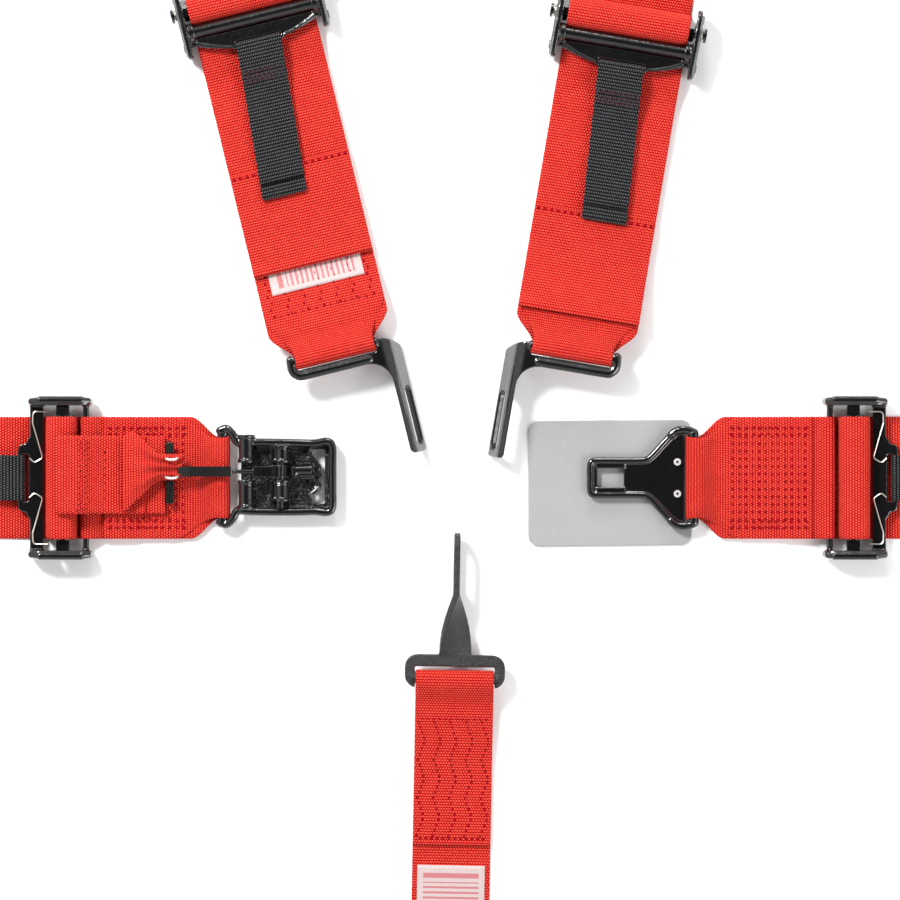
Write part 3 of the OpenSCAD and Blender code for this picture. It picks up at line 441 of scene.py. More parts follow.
def tucked(turn):
    """The upper layer's edges roll down over the lower layer's where both are gathered."""

    def lift(u, s, side):
        near = (1 - ease((u - 4) / 26)) * ease((u + 1) / 5)
        roll = abs(side) ** 5
        return near * (-1.7 * roll + 0.5 * math.sin(side * 7 + 0.6) * (1 - roll) if s > turn else 0.5 * roll)

    return lift


def length_to_bar(path):
    """Length of path up to its middle turn round the buckle bar at u = 0."""
    run = 0.0
    for a, b in zip(path, path[1:]):
        if min(a[0], b[0]) < -EYE_R * 0.98:
            return run
        run += math.dist(a, b)
    return run


def ribbon(name, belt, path, half_width, thickness, material, lift=None, shift=None, columns=40, step=1.5):
    """A woven strip along path. half_width(u, s) is half its width, lift(u, s, side) raises it and
    shift(u) moves it sideways."""
    points = resample(path, step)
    full = max(half_width(u, s) for u, _, s in points)
    ring = [(2 * k / columns - 1, 0.5) for k in range(columns + 1)] + [(1.0, 0.0)]
    ring += [(1 - 2 * k / columns, -0.5) for k in range(columns + 1)] + [(-1.0, 0.0)]
    verts, uvs, sealed = [], [], []
    last = points[-1][2]
    for i, (u, z, s) in enumerate(points):
        a, b = points[max(i - 1, 0)], points[min(i + 1, len(points) - 1)]
        run = math.hypot(b[0] - a[0], b[1] - a[1]) or 1.0
        nu, nz = -(b[1] - a[1]) / run, (b[0] - a[0]) / run
        half = half_width(u, s)
        aside = shift(u) if shift else 0.0
        for side, face in ring:
            edge = max(0.0, abs(side) - 0.94) / 0.06
            off = face * thickness * (1 - 0.45 * edge)
            v = aside + side * (half + (0.25 if face == 0 else 0.0))
            wave = noise.noise(Vector((s * 0.02, side * 1.1, len(name)))) * 0.22
            extra = lift(u, s, side) if lift else 0.0
            verts.append(belt.place(u + nu * (off + wave), v, z + nz * (off + wave) + extra))
            uvs.append((s * MM, side * full * MM))
            sealed.append(1.0 if min(s, last - s) < 1.0 else 0.0)
    n = len(ring)
    faces = [(i * n + k, i * n + (k + 1) % n, (i + 1) * n + (k + 1) % n, (i + 1) * n + k)
             for i in range(len(points) - 1) for k in range(n)]
    end = (len(points) - 1) * n
    for base in (0, end):
        faces += [(base + k, base + k + 1, base + n - 3 - k, base + n - 2 - k) for k in range(columns)]
        faces.append((base + columns, base + columns + 1, base + columns + 2))
        faces.append((base + 2 * columns + 2, base + n - 1, base))
    mesh = bpy.data.meshes.new(name)
    mesh.from_pydata(verts, [], faces)
    layer = mesh.uv_layers.new(name="weave")
    corners = [0] * len(mesh.loops)
    mesh.loops.foreach_get("vertex_index", corners)
    layer.data.foreach_set("uv", [c for i in corners for c in uvs[i]])
    mesh.attributes.new("sealed", "FLOAT", "POINT").data.foreach_set("value", sealed)
    work = bmesh.new()
    work.from_mesh(mesh)
    bmesh.ops.recalc_face_normals(work, faces=work.faces)
    work.to_mesh(mesh)
    work.free()
    mesh.shade_smooth()
    mesh.materials.append(material)
    return add(name, mesh)


print("ribbon maker ready")


# %% Shared runs of the belts
def over_bar(at, z):
    """Up over the slide bar and down to the floor on the anchor side."""
    return (arc(at - BAR_TRAVEL / 2, z, WRAP_R, 180, 90) + arc(at + BAR_TRAVEL / 2, z, WRAP_R, 90, 0)
            + arc(at + ROLL_HALF + BEND_R, level(0) + BEND_R, BEND_R, 180, 270, 8))


def to_anchor(belt):
    """Out to the anchor's bar, round it, and back for the sewn layer."""
    bar, z = belt.anchor, belt.anchor_z
    return (arc(bar, z, EYE_R, -90, 90, 20) + ramp((bar - 1.5, z + EYE_R - 0.1), (bar - 16, level(1)))
            + [(bar - ANCHOR_SEWN, level(1))])


def settle(u, top):
    """Height of the lowest layer of a belt that comes down from a raised bar."""
    return level(0) + (top - EYE_R - level(0)) * (1 - ease(u / SETTLE_LEN))


def settled(start, end, rise, top, n=20):
    stations = [start + (end - start) * k / n for k in range(n + 1)]
    return [(u, settle(u, top) + rise) for u in stations]


def middle(node, belt):
    """Where a CAD node's box has its middle, in the belt's frame."""
    low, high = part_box(node)
    return belt.local((Vector(low) + Vector(high)) / 2)


def top_of(path, u, thickness=WEB_T):
    """Height of the highest surface of a side view at u."""
    best = 0.0
    for a, b in zip(path, path[1:]):
        if min(a[0], b[0]) <= u <= max(a[0], b[0]) and a[0] != b[0]:
            best = max(best, a[1] + (b[1] - a[1]) * (u - a[0]) / (b[0] - a[0]))
    return best + thickness / 2


print("belt runs ready")

# %% [markdown]
# ## The lap belts
# The inner webbing is sewn round the buckle's bar and round a thin bar hidden in the adjuster. The outer
# webbing comes from the anchor, climbs over the adjuster's slide bar and runs back under the inner one.
# Where webbing narrows to pass a bar it is gathered, and the upper layer's edges roll down.

# %% Lap webbing
LAP_SEWN = 75.0
LAP_TAIL = 24.0


lap_paths = {}
for side_name in ("left", "right"):
    belt = belts["lap_" + side_name]
    adjust = middle(f"lap_slide_bar_{side_name}", belt)[0] + BAR_TRAVEL / 2
    rail = adjust - (ROLL_HALF + WEB_T + SMALL_EYE_R + 1.8)
    rail_z = level(1) + SMALL_EYE_R
    inner = ([(rail - 24, level(1))] + arc(rail, rail_z, SMALL_EYE_R, -90, 90)
             + ramp((rail - 1, rail_z + SMALL_EYE_R - 0.05), (LAP_SEWN, level(2)))
             + ramp((rail - 26, level(2)), (rail - 32, level(1)), 6)
             + arc(0, belt.bar_z, EYE_R, -90, -270, 20)
             + ramp((1.5, belt.bar_z + EYE_R - 0.1), (16, level(2)))
             + ramp((rail - 34, level(2)), (rail - 28, level(3)), 6) + [(LAP_SEWN, level(3))])
    outer = ([(LAP_TAIL, level(0))] + arc(adjust - ROLL_HALF - BEND_R, level(0) + BEND_R, BEND_R, -90, 0, 8)
             + over_bar(adjust, BAR_R + 2.8) + to_anchor(belt))
    lap_paths[side_name] = (inner, outer, adjust)
    body = "latch_belt" if side_name == "left" else "link_belt"
    turn = length_to_bar(inner)
    strap = ribbon(f"lap_webbing_inner_{side_name}", belt, inner, folded_width(turn), WEB_T, RED_WEB,
                   tucked(turn))
    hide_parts(f"lap_inner_strap_{side_name}")
    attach(strap, body)
    strap = ribbon(f"lap_webbing_outer_{side_name}", belt, outer, narrowed(belt.anchor), WEB_T, RED_WEB)
    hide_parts(f"lap_outer_strap_{side_name}")
    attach(strap, body)
    print("lap", side_name, "adjuster at", round(adjust, 1), "mm")

# %% [markdown]
# ## The shoulder belts
# A shoulder belt hangs on a raised link, so its doubled webbing comes down in a long slope. The upper
# webbing leaves the adjuster towards the buckle as a tail, and the tail's end is folded over and sewn.

# %% Shoulder webbing
SHOULDER_SEWN = 105.0
TAIL_HEM = 65.0
TAIL_RISE = 2 * PITCH + 0.4
TAIL_Z = level(0) + 2 * SMALL_EYE_R + PITCH
SHOULDER_BAR_Z = TAIL_Z + BEND_R + 1.2
FIXED_R = 4.0
FIXED_X = -(ROLL_HALF + WEB_T / 2 + 0.3 + FIXED_R)
shoulder_paths = {}
for side_name, fold in (("left", 58.0), ("right", 24.0)):
    belt = belts["shoulder_" + side_name]
    top = belt.bar_z
    adjust = middle(f"shoulder_slide_bar_{side_name}", belt)[0] + BAR_TRAVEL / 2
    rail = adjust + FIXED_X - 6
    rail_z = level(0) + SMALL_EYE_R
    crescent = adjust + FIXED_X - FIXED_R - 11.5
    lower = ([(rail - 45, level(1))] + ramp((rail - 14, level(1)), (rail - 1, rail_z + SMALL_EYE_R))
             + arc(rail, rail_z, SMALL_EYE_R, 90, -90) + settled(SETTLE_LEN + 10, 3, 0, top)
             + arc(0, top, EYE_R, -90, -270, 20)
             + ramp((1.5, top + EYE_R - 0.1), (18, settle(18, top) + PITCH))
             + settled(22, SETTLE_LEN, PITCH, top) + [(SHOULDER_SEWN, level(1))])
    low, high = TAIL_RISE, TAIL_RISE + PITCH
    upper = (settled(fold + TAIL_HEM, fold + 8, high, top)
             + [(fold + FOLD_R + 3, settle(fold + FOLD_R + 3, top) + low + 2 * FOLD_R - 0.2)]
             + arc(fold + FOLD_R, settle(fold + FOLD_R, top) + low + FOLD_R, FOLD_R, 90, 270, 12)
             + settled(fold + FOLD_R + 3, max(SETTLE_LEN, fold + TAIL_HEM), low, top)
             + ramp((crescent - 20, level(0) + low), (crescent + 4.5, TAIL_Z))
             + arc(adjust - ROLL_HALF - BEND_R, TAIL_Z + BEND_R, BEND_R, -90, 0, 8)
             + over_bar(adjust, SHOULDER_BAR_Z) + to_anchor(belt))
    shoulder_paths[side_name] = (lower, upper, adjust, crescent, fold)
    turn = length_to_bar(lower)
    for label, path, width, lift in (("lower", lower, folded_width(turn), tucked(turn)),
                                     ("upper", upper, narrowed(belt.anchor), None)):
        strap = ribbon(f"shoulder_webbing_{label}_{side_name}", belt, path, width, WEB_T, RED_WEB, lift)
        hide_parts(f"shoulder_strap_{label}_{side_name}")
        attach(strap, f"shoulder_belt_{side_name}")
    print("shoulder", side_name, "adjuster at", round(adjust, 1), "mm")

# %% [markdown]
# ## The crotch belt
# It is narrower webbing, sewn round its link, threaded over the middle bar of a flat slide and looped
# through its anchor.

# %% Crotch webbing
CROTCH_W = 48.5
CROTCH_SEWN = 106.0
SLIDE_PITCH = 9.0
belt = belts["crotch"]
top = belt.bar_z
slide = belt.anchor - 85
slide_z = level(1) + WEB_T / 2 + 0.35 + 1.25
hump = slide_z + 1.25 + 0.35 + WEB_T / 2


def crotch_run(u):
    return settle(u, top) + PITCH * ease((u - slide + 75) / 15)


crotch_path = (
    [(CROTCH_SEWN, level(1))] + settled(SETTLE_LEN, 24, PITCH, top)
    + ramp((18, settle(18, top) + PITCH), (1.5, top + EYE_R - 0.1)) + arc(0, top, EYE_R, 90, 270, 20)
    + [(u, crotch_run(u)) for u in range(3, int(SETTLE_LEN) + 9, 4)]
    + [(u, crotch_run(u)) for u in range(int(slide) - 75, int(slide) - 59, 3)]
    + ramp((slide - SLIDE_PITCH + 2, level(1)), (slide - 2, hump), 8)
    + ramp((slide + 2, hump), (slide + SLIDE_PITCH - 2, level(1)), 8)
    + ramp((belt.anchor - 16, level(1)), (belt.anchor - 1.5, belt.anchor_z + EYE_R - 0.1))
    + arc(belt.anchor, belt.anchor_z, EYE_R, 90, -90, 20) + [(slide - 45, level(0))])
strap = ribbon("crotch_webbing", belt, crotch_path, lambda u, s: CROTCH_W / 2, WEB_T, RED_WEB, columns=28)
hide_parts("crotch_strap")
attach(strap, "crotch_belt")
print("crotch webbing", round(resample(crotch_path, 5)[-1][2]), "mm long")

# %% [markdown]
# ## Black pull straps
# Each adjuster has a narrow black strap, folded round a thin bar and bartacked to itself. Its free end
# is turned up into a small hem. It lies a little aslant, because nothing guides it.

# %% Pull straps
PULL_W = 28.0
PULL_T = 1.2
PULL_LEN = 97.0
PULL_EYE = 2.5


def pull_path(rest):
    """Side view of a pull strap from its bar at 0 out to +PULL_LEN.

    rest is the bar's height above its bed."""
    low = -(rest - PULL_T / 2 - 0.3)
    high = low + PULL_T + LAYER_GAP
    return ([(PULL_LEN - 8, high + 0.3)] + arc(PULL_LEN - 1.2, low + 0.95, 0.95, 90, -90, 8)
            + ramp((PULL_LEN - 2, low), (30, low), 20) + ramp((30, low), (1, -PULL_EYE))
            + arc(0, 0, PULL_EYE, -90, -270) + ramp((1, PULL_EYE - 0.05), (36, high))
            + [(PULL_LEN - 10, high)])


def pull_strap(name, belt, bar, bar_z, rest, way, slant):
    """bar is the hanging bar's u; way is +1 outwards or -1 towards the buckle; slant is mm across per mm."""
    path = [(bar + way * u, bar_z + z) for u, z in pull_path(rest)]
    strap = ribbon(name, belt, path, lambda u, s: PULL_W / 2, PULL_T, BLACK_WEB,
                   shift=lambda u: slant * abs(u - bar), columns=20, step=1.2)
    return strap, path


pull_paths = {}
CRESCENT_Z = TAIL_Z + WEB_T / 2 + 0.3 + PULL_T / 2 + PULL_EYE
for side_name, slant in (("left", 0.075), ("right", -0.062)):
    lower, upper, adjust, crescent, fold = shoulder_paths[side_name]
    rest = CRESCENT_Z - level(1) - TAIL_RISE - WEB_T / 2
    name = f"shoulder_pull_strap_{side_name}"
    strap, path = pull_strap(f"shoulder_pull_webbing_{side_name}", belts["shoulder_" + side_name], crescent,
                             CRESCENT_Z, rest, -1, slant)
    pull_paths["shoulder_" + side_name] = (path, crescent, -1, slant)
    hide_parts(name)
    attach(strap, "shoulder_pull_" + side_name)
LAP_PLATE_Z = WEB_T + 0.3 + PULL_T / 2 + PULL_EYE
LAP_TAB_X = ROLL_HALF + WEB_T / 2 + 1.9 + 14.8
for side_name in ("left", "right"):
    adjust = lap_paths[side_name][2]
    strap, path = pull_strap(f"lap_pull_webbing_{side_name}", belts["lap_" + side_name], adjust + LAP_TAB_X,
                             LAP_PLATE_Z, LAP_PLATE_Z - WEB_T, 1, 0.0)
    pull_paths["lap_" + side_name] = (path, adjust + LAP_TAB_X, 1, 0.0)
    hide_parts("lap_pull_strap_" + side_name)
    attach(strap, "lap_pull_" + side_name)
print("pull straps:", sorted(pull_paths))

# %% [markdown]
# ## The release strap
# The red strap that opens the latch lies on the left lap belt. It is doubled and bartacked, and near
# the latch it is gathered into a bow, pinched between two eyelets by a cable tie. The bow is a ribbon
# whose width shrinks while its pleats deepen, so the same amount of cloth goes through a narrower gap.

# %% Release strap
RELEASE_W = 48.5
RELEASE_MID = -2.0
release_belt = belts["lap_left"]
release_z = level(3) + WEB_T / 2 + 0.8
roll_top = BAR_R + 2.8 + WRAP_R + 1.5 * WEB_T + 0.8
release_end = lap_paths["left"][2] - 2
low_z = release_z + WEB_T / 2
high_z = low_z + PITCH


def release_layer(z_flat, z_roll, start):
    return ([(start, z_flat)] + ramp((54, z_flat), (release_end - 27, z_flat), 6)[1:]
            + ramp((release_end - 27, z_flat), (release_end - 5, z_roll), 16))


release_path = (release_layer(low_z, roll_top - WEB_T / 2, 35.5)
                + arc(release_end + 3, roll_top + 0.1, WEB_T / 2 + 0.15, -90, 90, 8)
                + release_layer(high_z, roll_top + WEB_T / 2 + 0.2, 48)[::-1])
release = ribbon("release_strap_flat", release_belt, release_path, lambda u, s: RELEASE_W / 2, WEB_T, RED_WEB,
                 lift=lambda u, s, side: 0.35 * math.sin(u * 0.09 + side), shift=lambda u: RELEASE_MID,
                 columns=28)

BOW_START = 62.0
BOW_NECK = 36.6
BOW_END = 24.5
NECK_W = 16.0


def bow_half(u, s):
    gathered = ease((BOW_START - 2 - u) / (BOW_START - 2 - BOW_NECK))
    return (RELEASE_W - 1 - (RELEASE_W - 1 - NECK_W) * gathered) / 2


def bow_lift(u, s, side):
    gathered = ease((BOW_START - u) / (BOW_START - BOW_NECK))
    pleats = math.cos(side * math.pi * 3.1 + 0.5) * (1.1 * gathered)
    swell = 4.2 * math.sin(math.pi * min(1.0, max(0.0, (BOW_START + 4 - u) / 34))) * (1 - 0.75 * side * side)
    return pleats + swell + 1.2 * gathered


bow_z = high_z + PITCH
bow_path = ([(BOW_START - 16, bow_z - 0.1), (BOW_START - 3, bow_z)]
            + arc(BOW_START - 1.5, bow_z + 1.2, 1.2, -90, 90, 10)
            + ramp((BOW_START - 3, bow_z + 2.4), (BOW_END, bow_z + 0.9), 20))
bow = ribbon("release_strap_bow", release_belt, bow_path, bow_half, WEB_T, RED_WEB, lift=bow_lift,
             shift=lambda u: RELEASE_MID - 4.8 * ease((BOW_START + 2 - u) / 10), columns=56, step=1.0)
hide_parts("release_strap")
for piece in (release, bow):
    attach(piece, "release")
print("release strap", round(resample(release_path, 5)[-1][2]), "mm of webbing, plus its bow")

# %% [markdown]
# ## Sewn labels
# Two woven labels are sewn to the belts. They carry only plain bars: a wide one and rows of thin ones,
# made by a step pattern on the label's own UV map.


# %% Label material
def label_material(name, along, wide):
    """A white woven label with one broad bar and thin rows; along is the UV axis the rows repeat on."""
    material, tree, shader = new_material(name, 0.75, Sheen_Weight=0.2)
    do = maths(tree)
    node = joiner(tree)
    uv = tree.nodes.new("ShaderNodeUVMap")
    uv.uv_map = "weave"
    split = tree.nodes.new("ShaderNodeSeparateXYZ")
    tree.links.new(uv.outputs["UV"], split.inputs[0])
    run = split.outputs["X" if along else "Y"]
    other = split.outputs["Y" if along else "X"]
    shifted = run if along else do("SUBTRACT", wide / 2, run)
    margin = do("MULTIPLY", do("LESS_THAN", do("ABSOLUTE", do("SUBTRACT", shifted, wide / 2)), wide / 2 - 0.0035),
                do("LESS_THAN", do("ABSOLUTE", other if along else do("SUBTRACT", other, 0.021)), 0.0175))
    rows = do("LESS_THAN", do("FRACT", do("DIVIDE", shifted, 0.0033)), 0.42)
    title = do("LESS_THAN", do("ABSOLUTE", do("SUBTRACT", shifted, 0.0065)), 0.0016)
    body = do("MULTIPLY", rows, do("GREATER_THAN", shifted, 0.0105))
    weft = node("ShaderNodeTexNoise", uv.outputs["UV"], None, 1400.0, 2.0)
    ink = do("MULTIPLY", do("MULTIPLY", margin, do("MAXIMUM", title, body)),
             do("ADD", 0.35, do("MULTIPLY", weft, 0.6)))
    mix = tree.nodes.new("ShaderNodeMix")
    mix.data_type = "RGBA"
    tree.links.new(ink, mix.inputs["Factor"])
    mix.inputs["A"].default_value = (0.50, 0.40, 0.39, 1)
    mix.inputs["B"].default_value = (0.42, 0.012, 0.03, 1)
    tree.links.new(mix.outputs["Result"], shader.inputs["Base Color"])
    bump(tree, shader, weft, 0.0002)
    return material


SHOULDER_LABEL = (59.0, 42.0)
CROTCH_LABEL = (42.0, 60.0)
belt = belts["shoulder_left"]
label_path = settled(44, 44 + SHOULDER_LABEL[1], PITCH + WEB_T / 2 + 0.2, belt.bar_z, 16)
label = ribbon("shoulder_label_cloth", belt, label_path, lambda u, s: SHOULDER_LABEL[0] / 2, 0.3,
               label_material("shoulder_label_print", False, SHOULDER_LABEL[0] * MM), columns=16, step=2.0)
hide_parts("shoulder_label")
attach(label, "shoulder_belt_left")
belt = belts["crotch"]
start = CROTCH_SEWN + 12.5
label_path = [(start + k * 3, crotch_run(start + k * 3) + WEB_T / 2 + 0.25) for k in range(21)]
label = ribbon("crotch_label_cloth", belt, label_path, lambda u, s: CROTCH_LABEL[0] / 2, 0.3,
               label_material("crotch_label_print", True, CROTCH_LABEL[1] * MM), columns=16, step=2.0)
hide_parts("crotch_label")
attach(label, "crotch_belt")
print("labels laid")

# %% [markdown]
# ## Stitches
# A row of stitches is a line on the belt. Geometry Nodes turns each line into a curve, puts a point at
# every stitch, and sets a short fat thread there with a flat dark dot after it, painted shade for the
# needle hole. Doing it with nodes keeps the stitch length in one place, and a row can be bent or moved
# without counting stitches.

# %% Stitch tree
stitcher = bpy.data.node_groups.new("stitcher", "GeometryNodeTree")
for label, kind in (("Lines", "NodeSocketGeometry"), ("Pitch", "NodeSocketFloat"),
                    ("Thread length", "NodeSocketFloat"), ("Thread radius", "NodeSocketFloat"),
                    ("Sink", "NodeSocketFloat"), ("Thread", "NodeSocketMaterial"),
                    ("Hole", "NodeSocketMaterial")):
    stitcher.interface.new_socket(label, in_out="INPUT", socket_type=kind)
stitcher.interface.new_socket("Stitches", in_out="OUTPUT", socket_type="NodeSocketGeometry")


def wire_up(tree, source, source_socket, target, target_socket):
    tree.links.new(source.outputs[source_socket], target.inputs[target_socket])


def instancer(tree, lines, shape, scale):
    """Nodes that set shape on every point of lines, turned along the line."""
    tangent = tree.nodes.new("GeometryNodeInputTangent")
    turn = tree.nodes.new("FunctionNodeAlignRotationToVector")
    turn.axis = "X"
    put = tree.nodes.new("GeometryNodeInstanceOnPoints")
    wire_up(tree, tangent, 0, turn, "Vector")
    wire_up(tree, lines, 0, put, "Points")
    wire_up(tree, shape, 0, put, "Instance")
    wire_up(tree, turn, 0, put, "Rotation")
    wire_up(tree, scale, 0, put, "Scale")
    return put


s_in = stitcher.nodes.new("NodeGroupInput")
s_out = stitcher.nodes.new("NodeGroupOutput")
s_curve = stitcher.nodes.new("GeometryNodeMeshToCurve")
s_points = stitcher.nodes.new("GeometryNodeResampleCurve")
s_points.mode = "LENGTH"
wire_up(stitcher, s_in, "Lines", s_curve, 0)
wire_up(stitcher, s_curve, 0, s_points, "Curve")
wire_up(stitcher, s_in, "Pitch", s_points, "Length")
s_ball = stitcher.nodes.new("GeometryNodeMeshIcoSphere")
s_ball.inputs["Subdivisions"].default_value = 2
s_ball.inputs["Radius"].default_value = 1.0
s_half = stitcher.nodes.new("ShaderNodeMath")
s_half.operation = "MULTIPLY"
s_half.inputs[1].default_value = 0.5
wire_up(stitcher, s_in, "Thread length", s_half, 0)
s_thread = stitcher.nodes.new("ShaderNodeCombineXYZ")
wire_up(stitcher, s_half, 0, s_thread, "X")
wire_up(stitcher, s_in, "Thread radius", s_thread, "Y")
wire_up(stitcher, s_in, "Thread radius", s_thread, "Z")
s_wide = stitcher.nodes.new("ShaderNodeMath")
s_wide.operation = "MULTIPLY"
s_wide.inputs[1].default_value = 1.8
wire_up(stitcher, s_in, "Thread radius", s_wide, 0)
s_flat = stitcher.nodes.new("ShaderNodeMath")
s_flat.operation = "MULTIPLY"
s_flat.inputs[1].default_value = 0.4
wire_up(stitcher, s_in, "Thread radius", s_flat, 0)
s_shade_dot = stitcher.nodes.new("ShaderNodeCombineXYZ")
wire_up(stitcher, s_wide, 0, s_shade_dot, "X")
wire_up(stitcher, s_wide, 0, s_shade_dot, "Y")
wire_up(stitcher, s_flat, 0, s_shade_dot, "Z")
s_join = stitcher.nodes.new("GeometryNodeJoinGeometry")
# The second instance is the dark dot of painted shade for the needle hole, half a stitch on.
for scale, slot_name, moved in ((s_thread, "Thread", False), (s_shade_dot, "Hole", True)):
    put = instancer(stitcher, s_points, s_ball, scale)
    if moved:
        s_step = stitcher.nodes.new("ShaderNodeMath")
        s_step.operation = "MULTIPLY"
        s_step.inputs[1].default_value = 0.5
        wire_up(stitcher, s_in, "Pitch", s_step, 0)
        s_offset = stitcher.nodes.new("ShaderNodeCombineXYZ")
        wire_up(stitcher, s_step, 0, s_offset, "X")
        wire_up(stitcher, s_in, "Sink", s_offset, "Z")
        s_move = stitcher.nodes.new("GeometryNodeTranslateInstances")
        wire_up(stitcher, put, 0, s_move, "Instances")
        wire_up(stitcher, s_offset, 0, s_move, "Translation")
        put = s_move
    s_real = stitcher.nodes.new("GeometryNodeRealizeInstances")
    s_paint = stitcher.nodes.new("GeometryNodeSetMaterial")
    wire_up(stitcher, put, 0, s_real, 0)
    wire_up(stitcher, s_real, 0, s_paint, "Geometry")
    wire_up(stitcher, s_in, slot_name, s_paint, "Material")
    wire_up(stitcher, s_paint, 0, s_join, 0)
wire_up(stitcher, s_join, 0, s_out, 0)
print("stitcher tree:", len(stitcher.nodes), "nodes")


# %% Sewing helpers
def grown(name, line_verts, line_edges, tree, **values):
    """Run a node tree over loose lines and give back a plain mesh object."""
    mesh = bpy.data.meshes.new(name + "_lines")
    mesh.from_pydata(line_verts, line_edges, [])
    source = add(name + "_lines", mesh)
    modifier = source.modifiers.new("grow", "NODES")
    modifier.node_group = tree
    for item in tree.interface.items_tree:
        if item.item_type == "SOCKET" and item.in_out == "INPUT" and item.name in values:
            modifier[item.identifier] = values[item.name]
    evaluated = source.evaluated_get(bpy.context.evaluated_depsgraph_get())
    made = bpy.data.meshes.new_from_object(evaluated)
    bpy.data.objects.remove(source)
    made.shade_smooth()
    return add(name, made)


def sew(name, belt, body, surface, rows, pitch=3.2, length=2.3, radius=0.36, thread=None,
        sink=0.1):
    """rows are lines of (u, v) on the belt; surface(u) is the webbing's height there."""
    verts, edges = [], []
    for row in rows:
        fine = [row[0]]
        for a, b in zip(row, row[1:]):
            n = max(1, round(math.dist(a, b) / 3))
            fine += [(a[0] + (b[0] - a[0]) * k / n, a[1] + (b[1] - a[1]) * k / n) for k in range(1, n + 1)]
        first = len(verts)
        verts += [belt.place(u, v, surface(u) - sink) for u, v in fine]
        edges += [(first + k, first + k + 1) for k in range(len(fine) - 1)]
    values = {"Pitch": pitch * MM, "Thread length": length * MM, "Thread radius": radius * MM, "Sink": sink * MM,
              "Thread": thread or THREAD_RED, "Hole": NEEDLE_HOLE_SHADE}
    made = grown(name, verts, edges, stitcher, **values)
    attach(made, body)
    return made


def zigzag(start, end, width, count):
    """A zigzag line from start to end, count strokes, width to either side."""
    du, dv = end[0] - start[0], end[1] - start[1]
    run = math.hypot(du, dv)
    side = (-dv / run * width, du / run * width)
    return [(start[0] + du * k / count + side[0] * (1 if k % 2 else -1),
             start[1] + dv * k / count + side[1] * (1 if k % 2 else -1)) for k in range(count + 1)]


print("needle threaded")

# %% Sew the lap belts
for side_name in ("left", "right"):
    belt = belts["lap_" + side_name]
    inner = lap_paths[side_name][0]
    rows = [[(25 + 4.1 * k, -31), (25 + 4.1 * k, 31)] for k in range(12)]
    rows += [[(24, v), (71, v)] for v in (-31.5, -27.5, 27.5, 31.5)]
    root = "latch_belt" if side_name == "left" else "link_belt"
    sew(f"lap_stitches_{side_name}", belt, root,
        lambda u, path=inner: top_of(path, u), rows, 4.6, 3.0, 0.5, sink=0.02)

# %% Sew the shoulder belts
for side_name in ("left", "right"):
    belt = belts["shoulder_" + side_name]
    lower, upper, adjust, crescent, fold = shoulder_paths[side_name]
    rows_v = (-32, -21, -10.5, 0, 10.5, 21, 32)
    box = [[(30, -32), (30, 32)]] + [zigzag((31, v), (100, v), 0.8, 16) for v in rows_v]
    sew(f"shoulder_box_stitches_{side_name}", belt, f"shoulder_belt_{side_name}",
        lambda u, path=lower: top_of(path, u), box, 4.4, 2.9, 0.5, sink=0.02)
    hem = fold + TAIL_HEM
    sew(f"shoulder_hem_stitches_{side_name}", belt, f"shoulder_belt_{side_name}",
        lambda u, path=upper: top_of(path, u), [[(hem - 2.6, -36), (hem - 2.6, 36)]], 4.2, 3.0, 0.6, sink=0.0)
    path, bar, way, slant = pull_paths["shoulder_" + side_name]
    tacks = [zigzag((bar + way * d, slant * d - 12.5), (bar + way * d, slant * d + 12.5), 0.7, 16)
             for d in (17, 20, 23)]
    sew(f"shoulder_pull_tacks_{side_name}", belt, f"shoulder_pull_{side_name}",
        lambda u, path=path: top_of(path, u, PULL_T), tacks, 1.5, 1.9, 0.4, THREAD_BLACK)

# %% Sew the crotch belt and the release strap
belt = belts["crotch"]
rows = [[(26, -20), (26, 20)], [(101.5, -20), (101.5, 20)]]
rows += [zigzag((28, v), (100, v), 2.2, 6) for v in (-20, -10, 0, 10, 20)]
sew("crotch_stitches", belt, "crotch_belt", lambda u: top_of(crotch_path, u), rows,
    3.6, 2.5, 0.46, sink=0.02)
rows = [zigzag((d, RELEASE_MID - 22), (d, RELEASE_MID + 22), 1.3, 26) for d in (85.0, 88.5)]
sew("release_bartack", release_belt, "release", lambda u: top_of(release_path, u), rows,
    2.2, 2.4, 0.5, sink=0.0)
# A row of needle holes with no thread left: dark dots painted as the shade inside the holes.
sew("release_needle_hole_shade", release_belt, "release", lambda u: top_of(release_path, u),
    [[(73.8, -16), (73.8, 13)]], 4.4, 1.0, 0.5, NEEDLE_HOLE_SHADE, sink=0.1)
start = CROTCH_SEWN + 12.5
sew("crotch_label_stitches", belt, "crotch_belt",
    lambda u: crotch_run(u) + WEB_T / 2 + 0.4, [[(start + 1.5, -20), (start + 1.5, 20)]], 2.8, 1.9, 0.25,
    THREAD_LIGHT)

# %% [markdown]
# ## Rounded, coated hardware
# The CAD parts have the right shapes but knife-sharp edges. A real stamping or casting is tumbled and
# then coated, so every edge is soft. A voxel remesh joins a copy of the CAD part and any cast detail into
# one skin, and a few smoothing passes round its edges by the same amount everywhere, which a bevel can't
# do on such mixed shapes.


# %% Soft-edged copies
def local_shape(node, belt):
    """A CAD node's mesh as a new bmesh, in the belt's own frame, in millimetres."""
    work = bmesh.new()
    work.from_mesh(frame["nodes"][node].data if node in frame["nodes"] else bpy.data.objects[node].data)
    bmesh.ops.remove_doubles(work, verts=work.verts, dist=1e-6)
    work.transform(Matrix.Scale(1 / MM, 4) @ belt.matrix.inverted())
    return work


def block(work, u0, u1, v0, v1, z0, z1):
    made = bmesh.ops.create_cube(work, size=1)["verts"]
    for vert in made:
        vert.co = Vector((u0 + (vert.co.x + 0.5) * (u1 - u0), v0 + (vert.co.y + 0.5) * (v1 - v0),
                          z0 + (vert.co.z + 0.5) * (z1 - z0)))


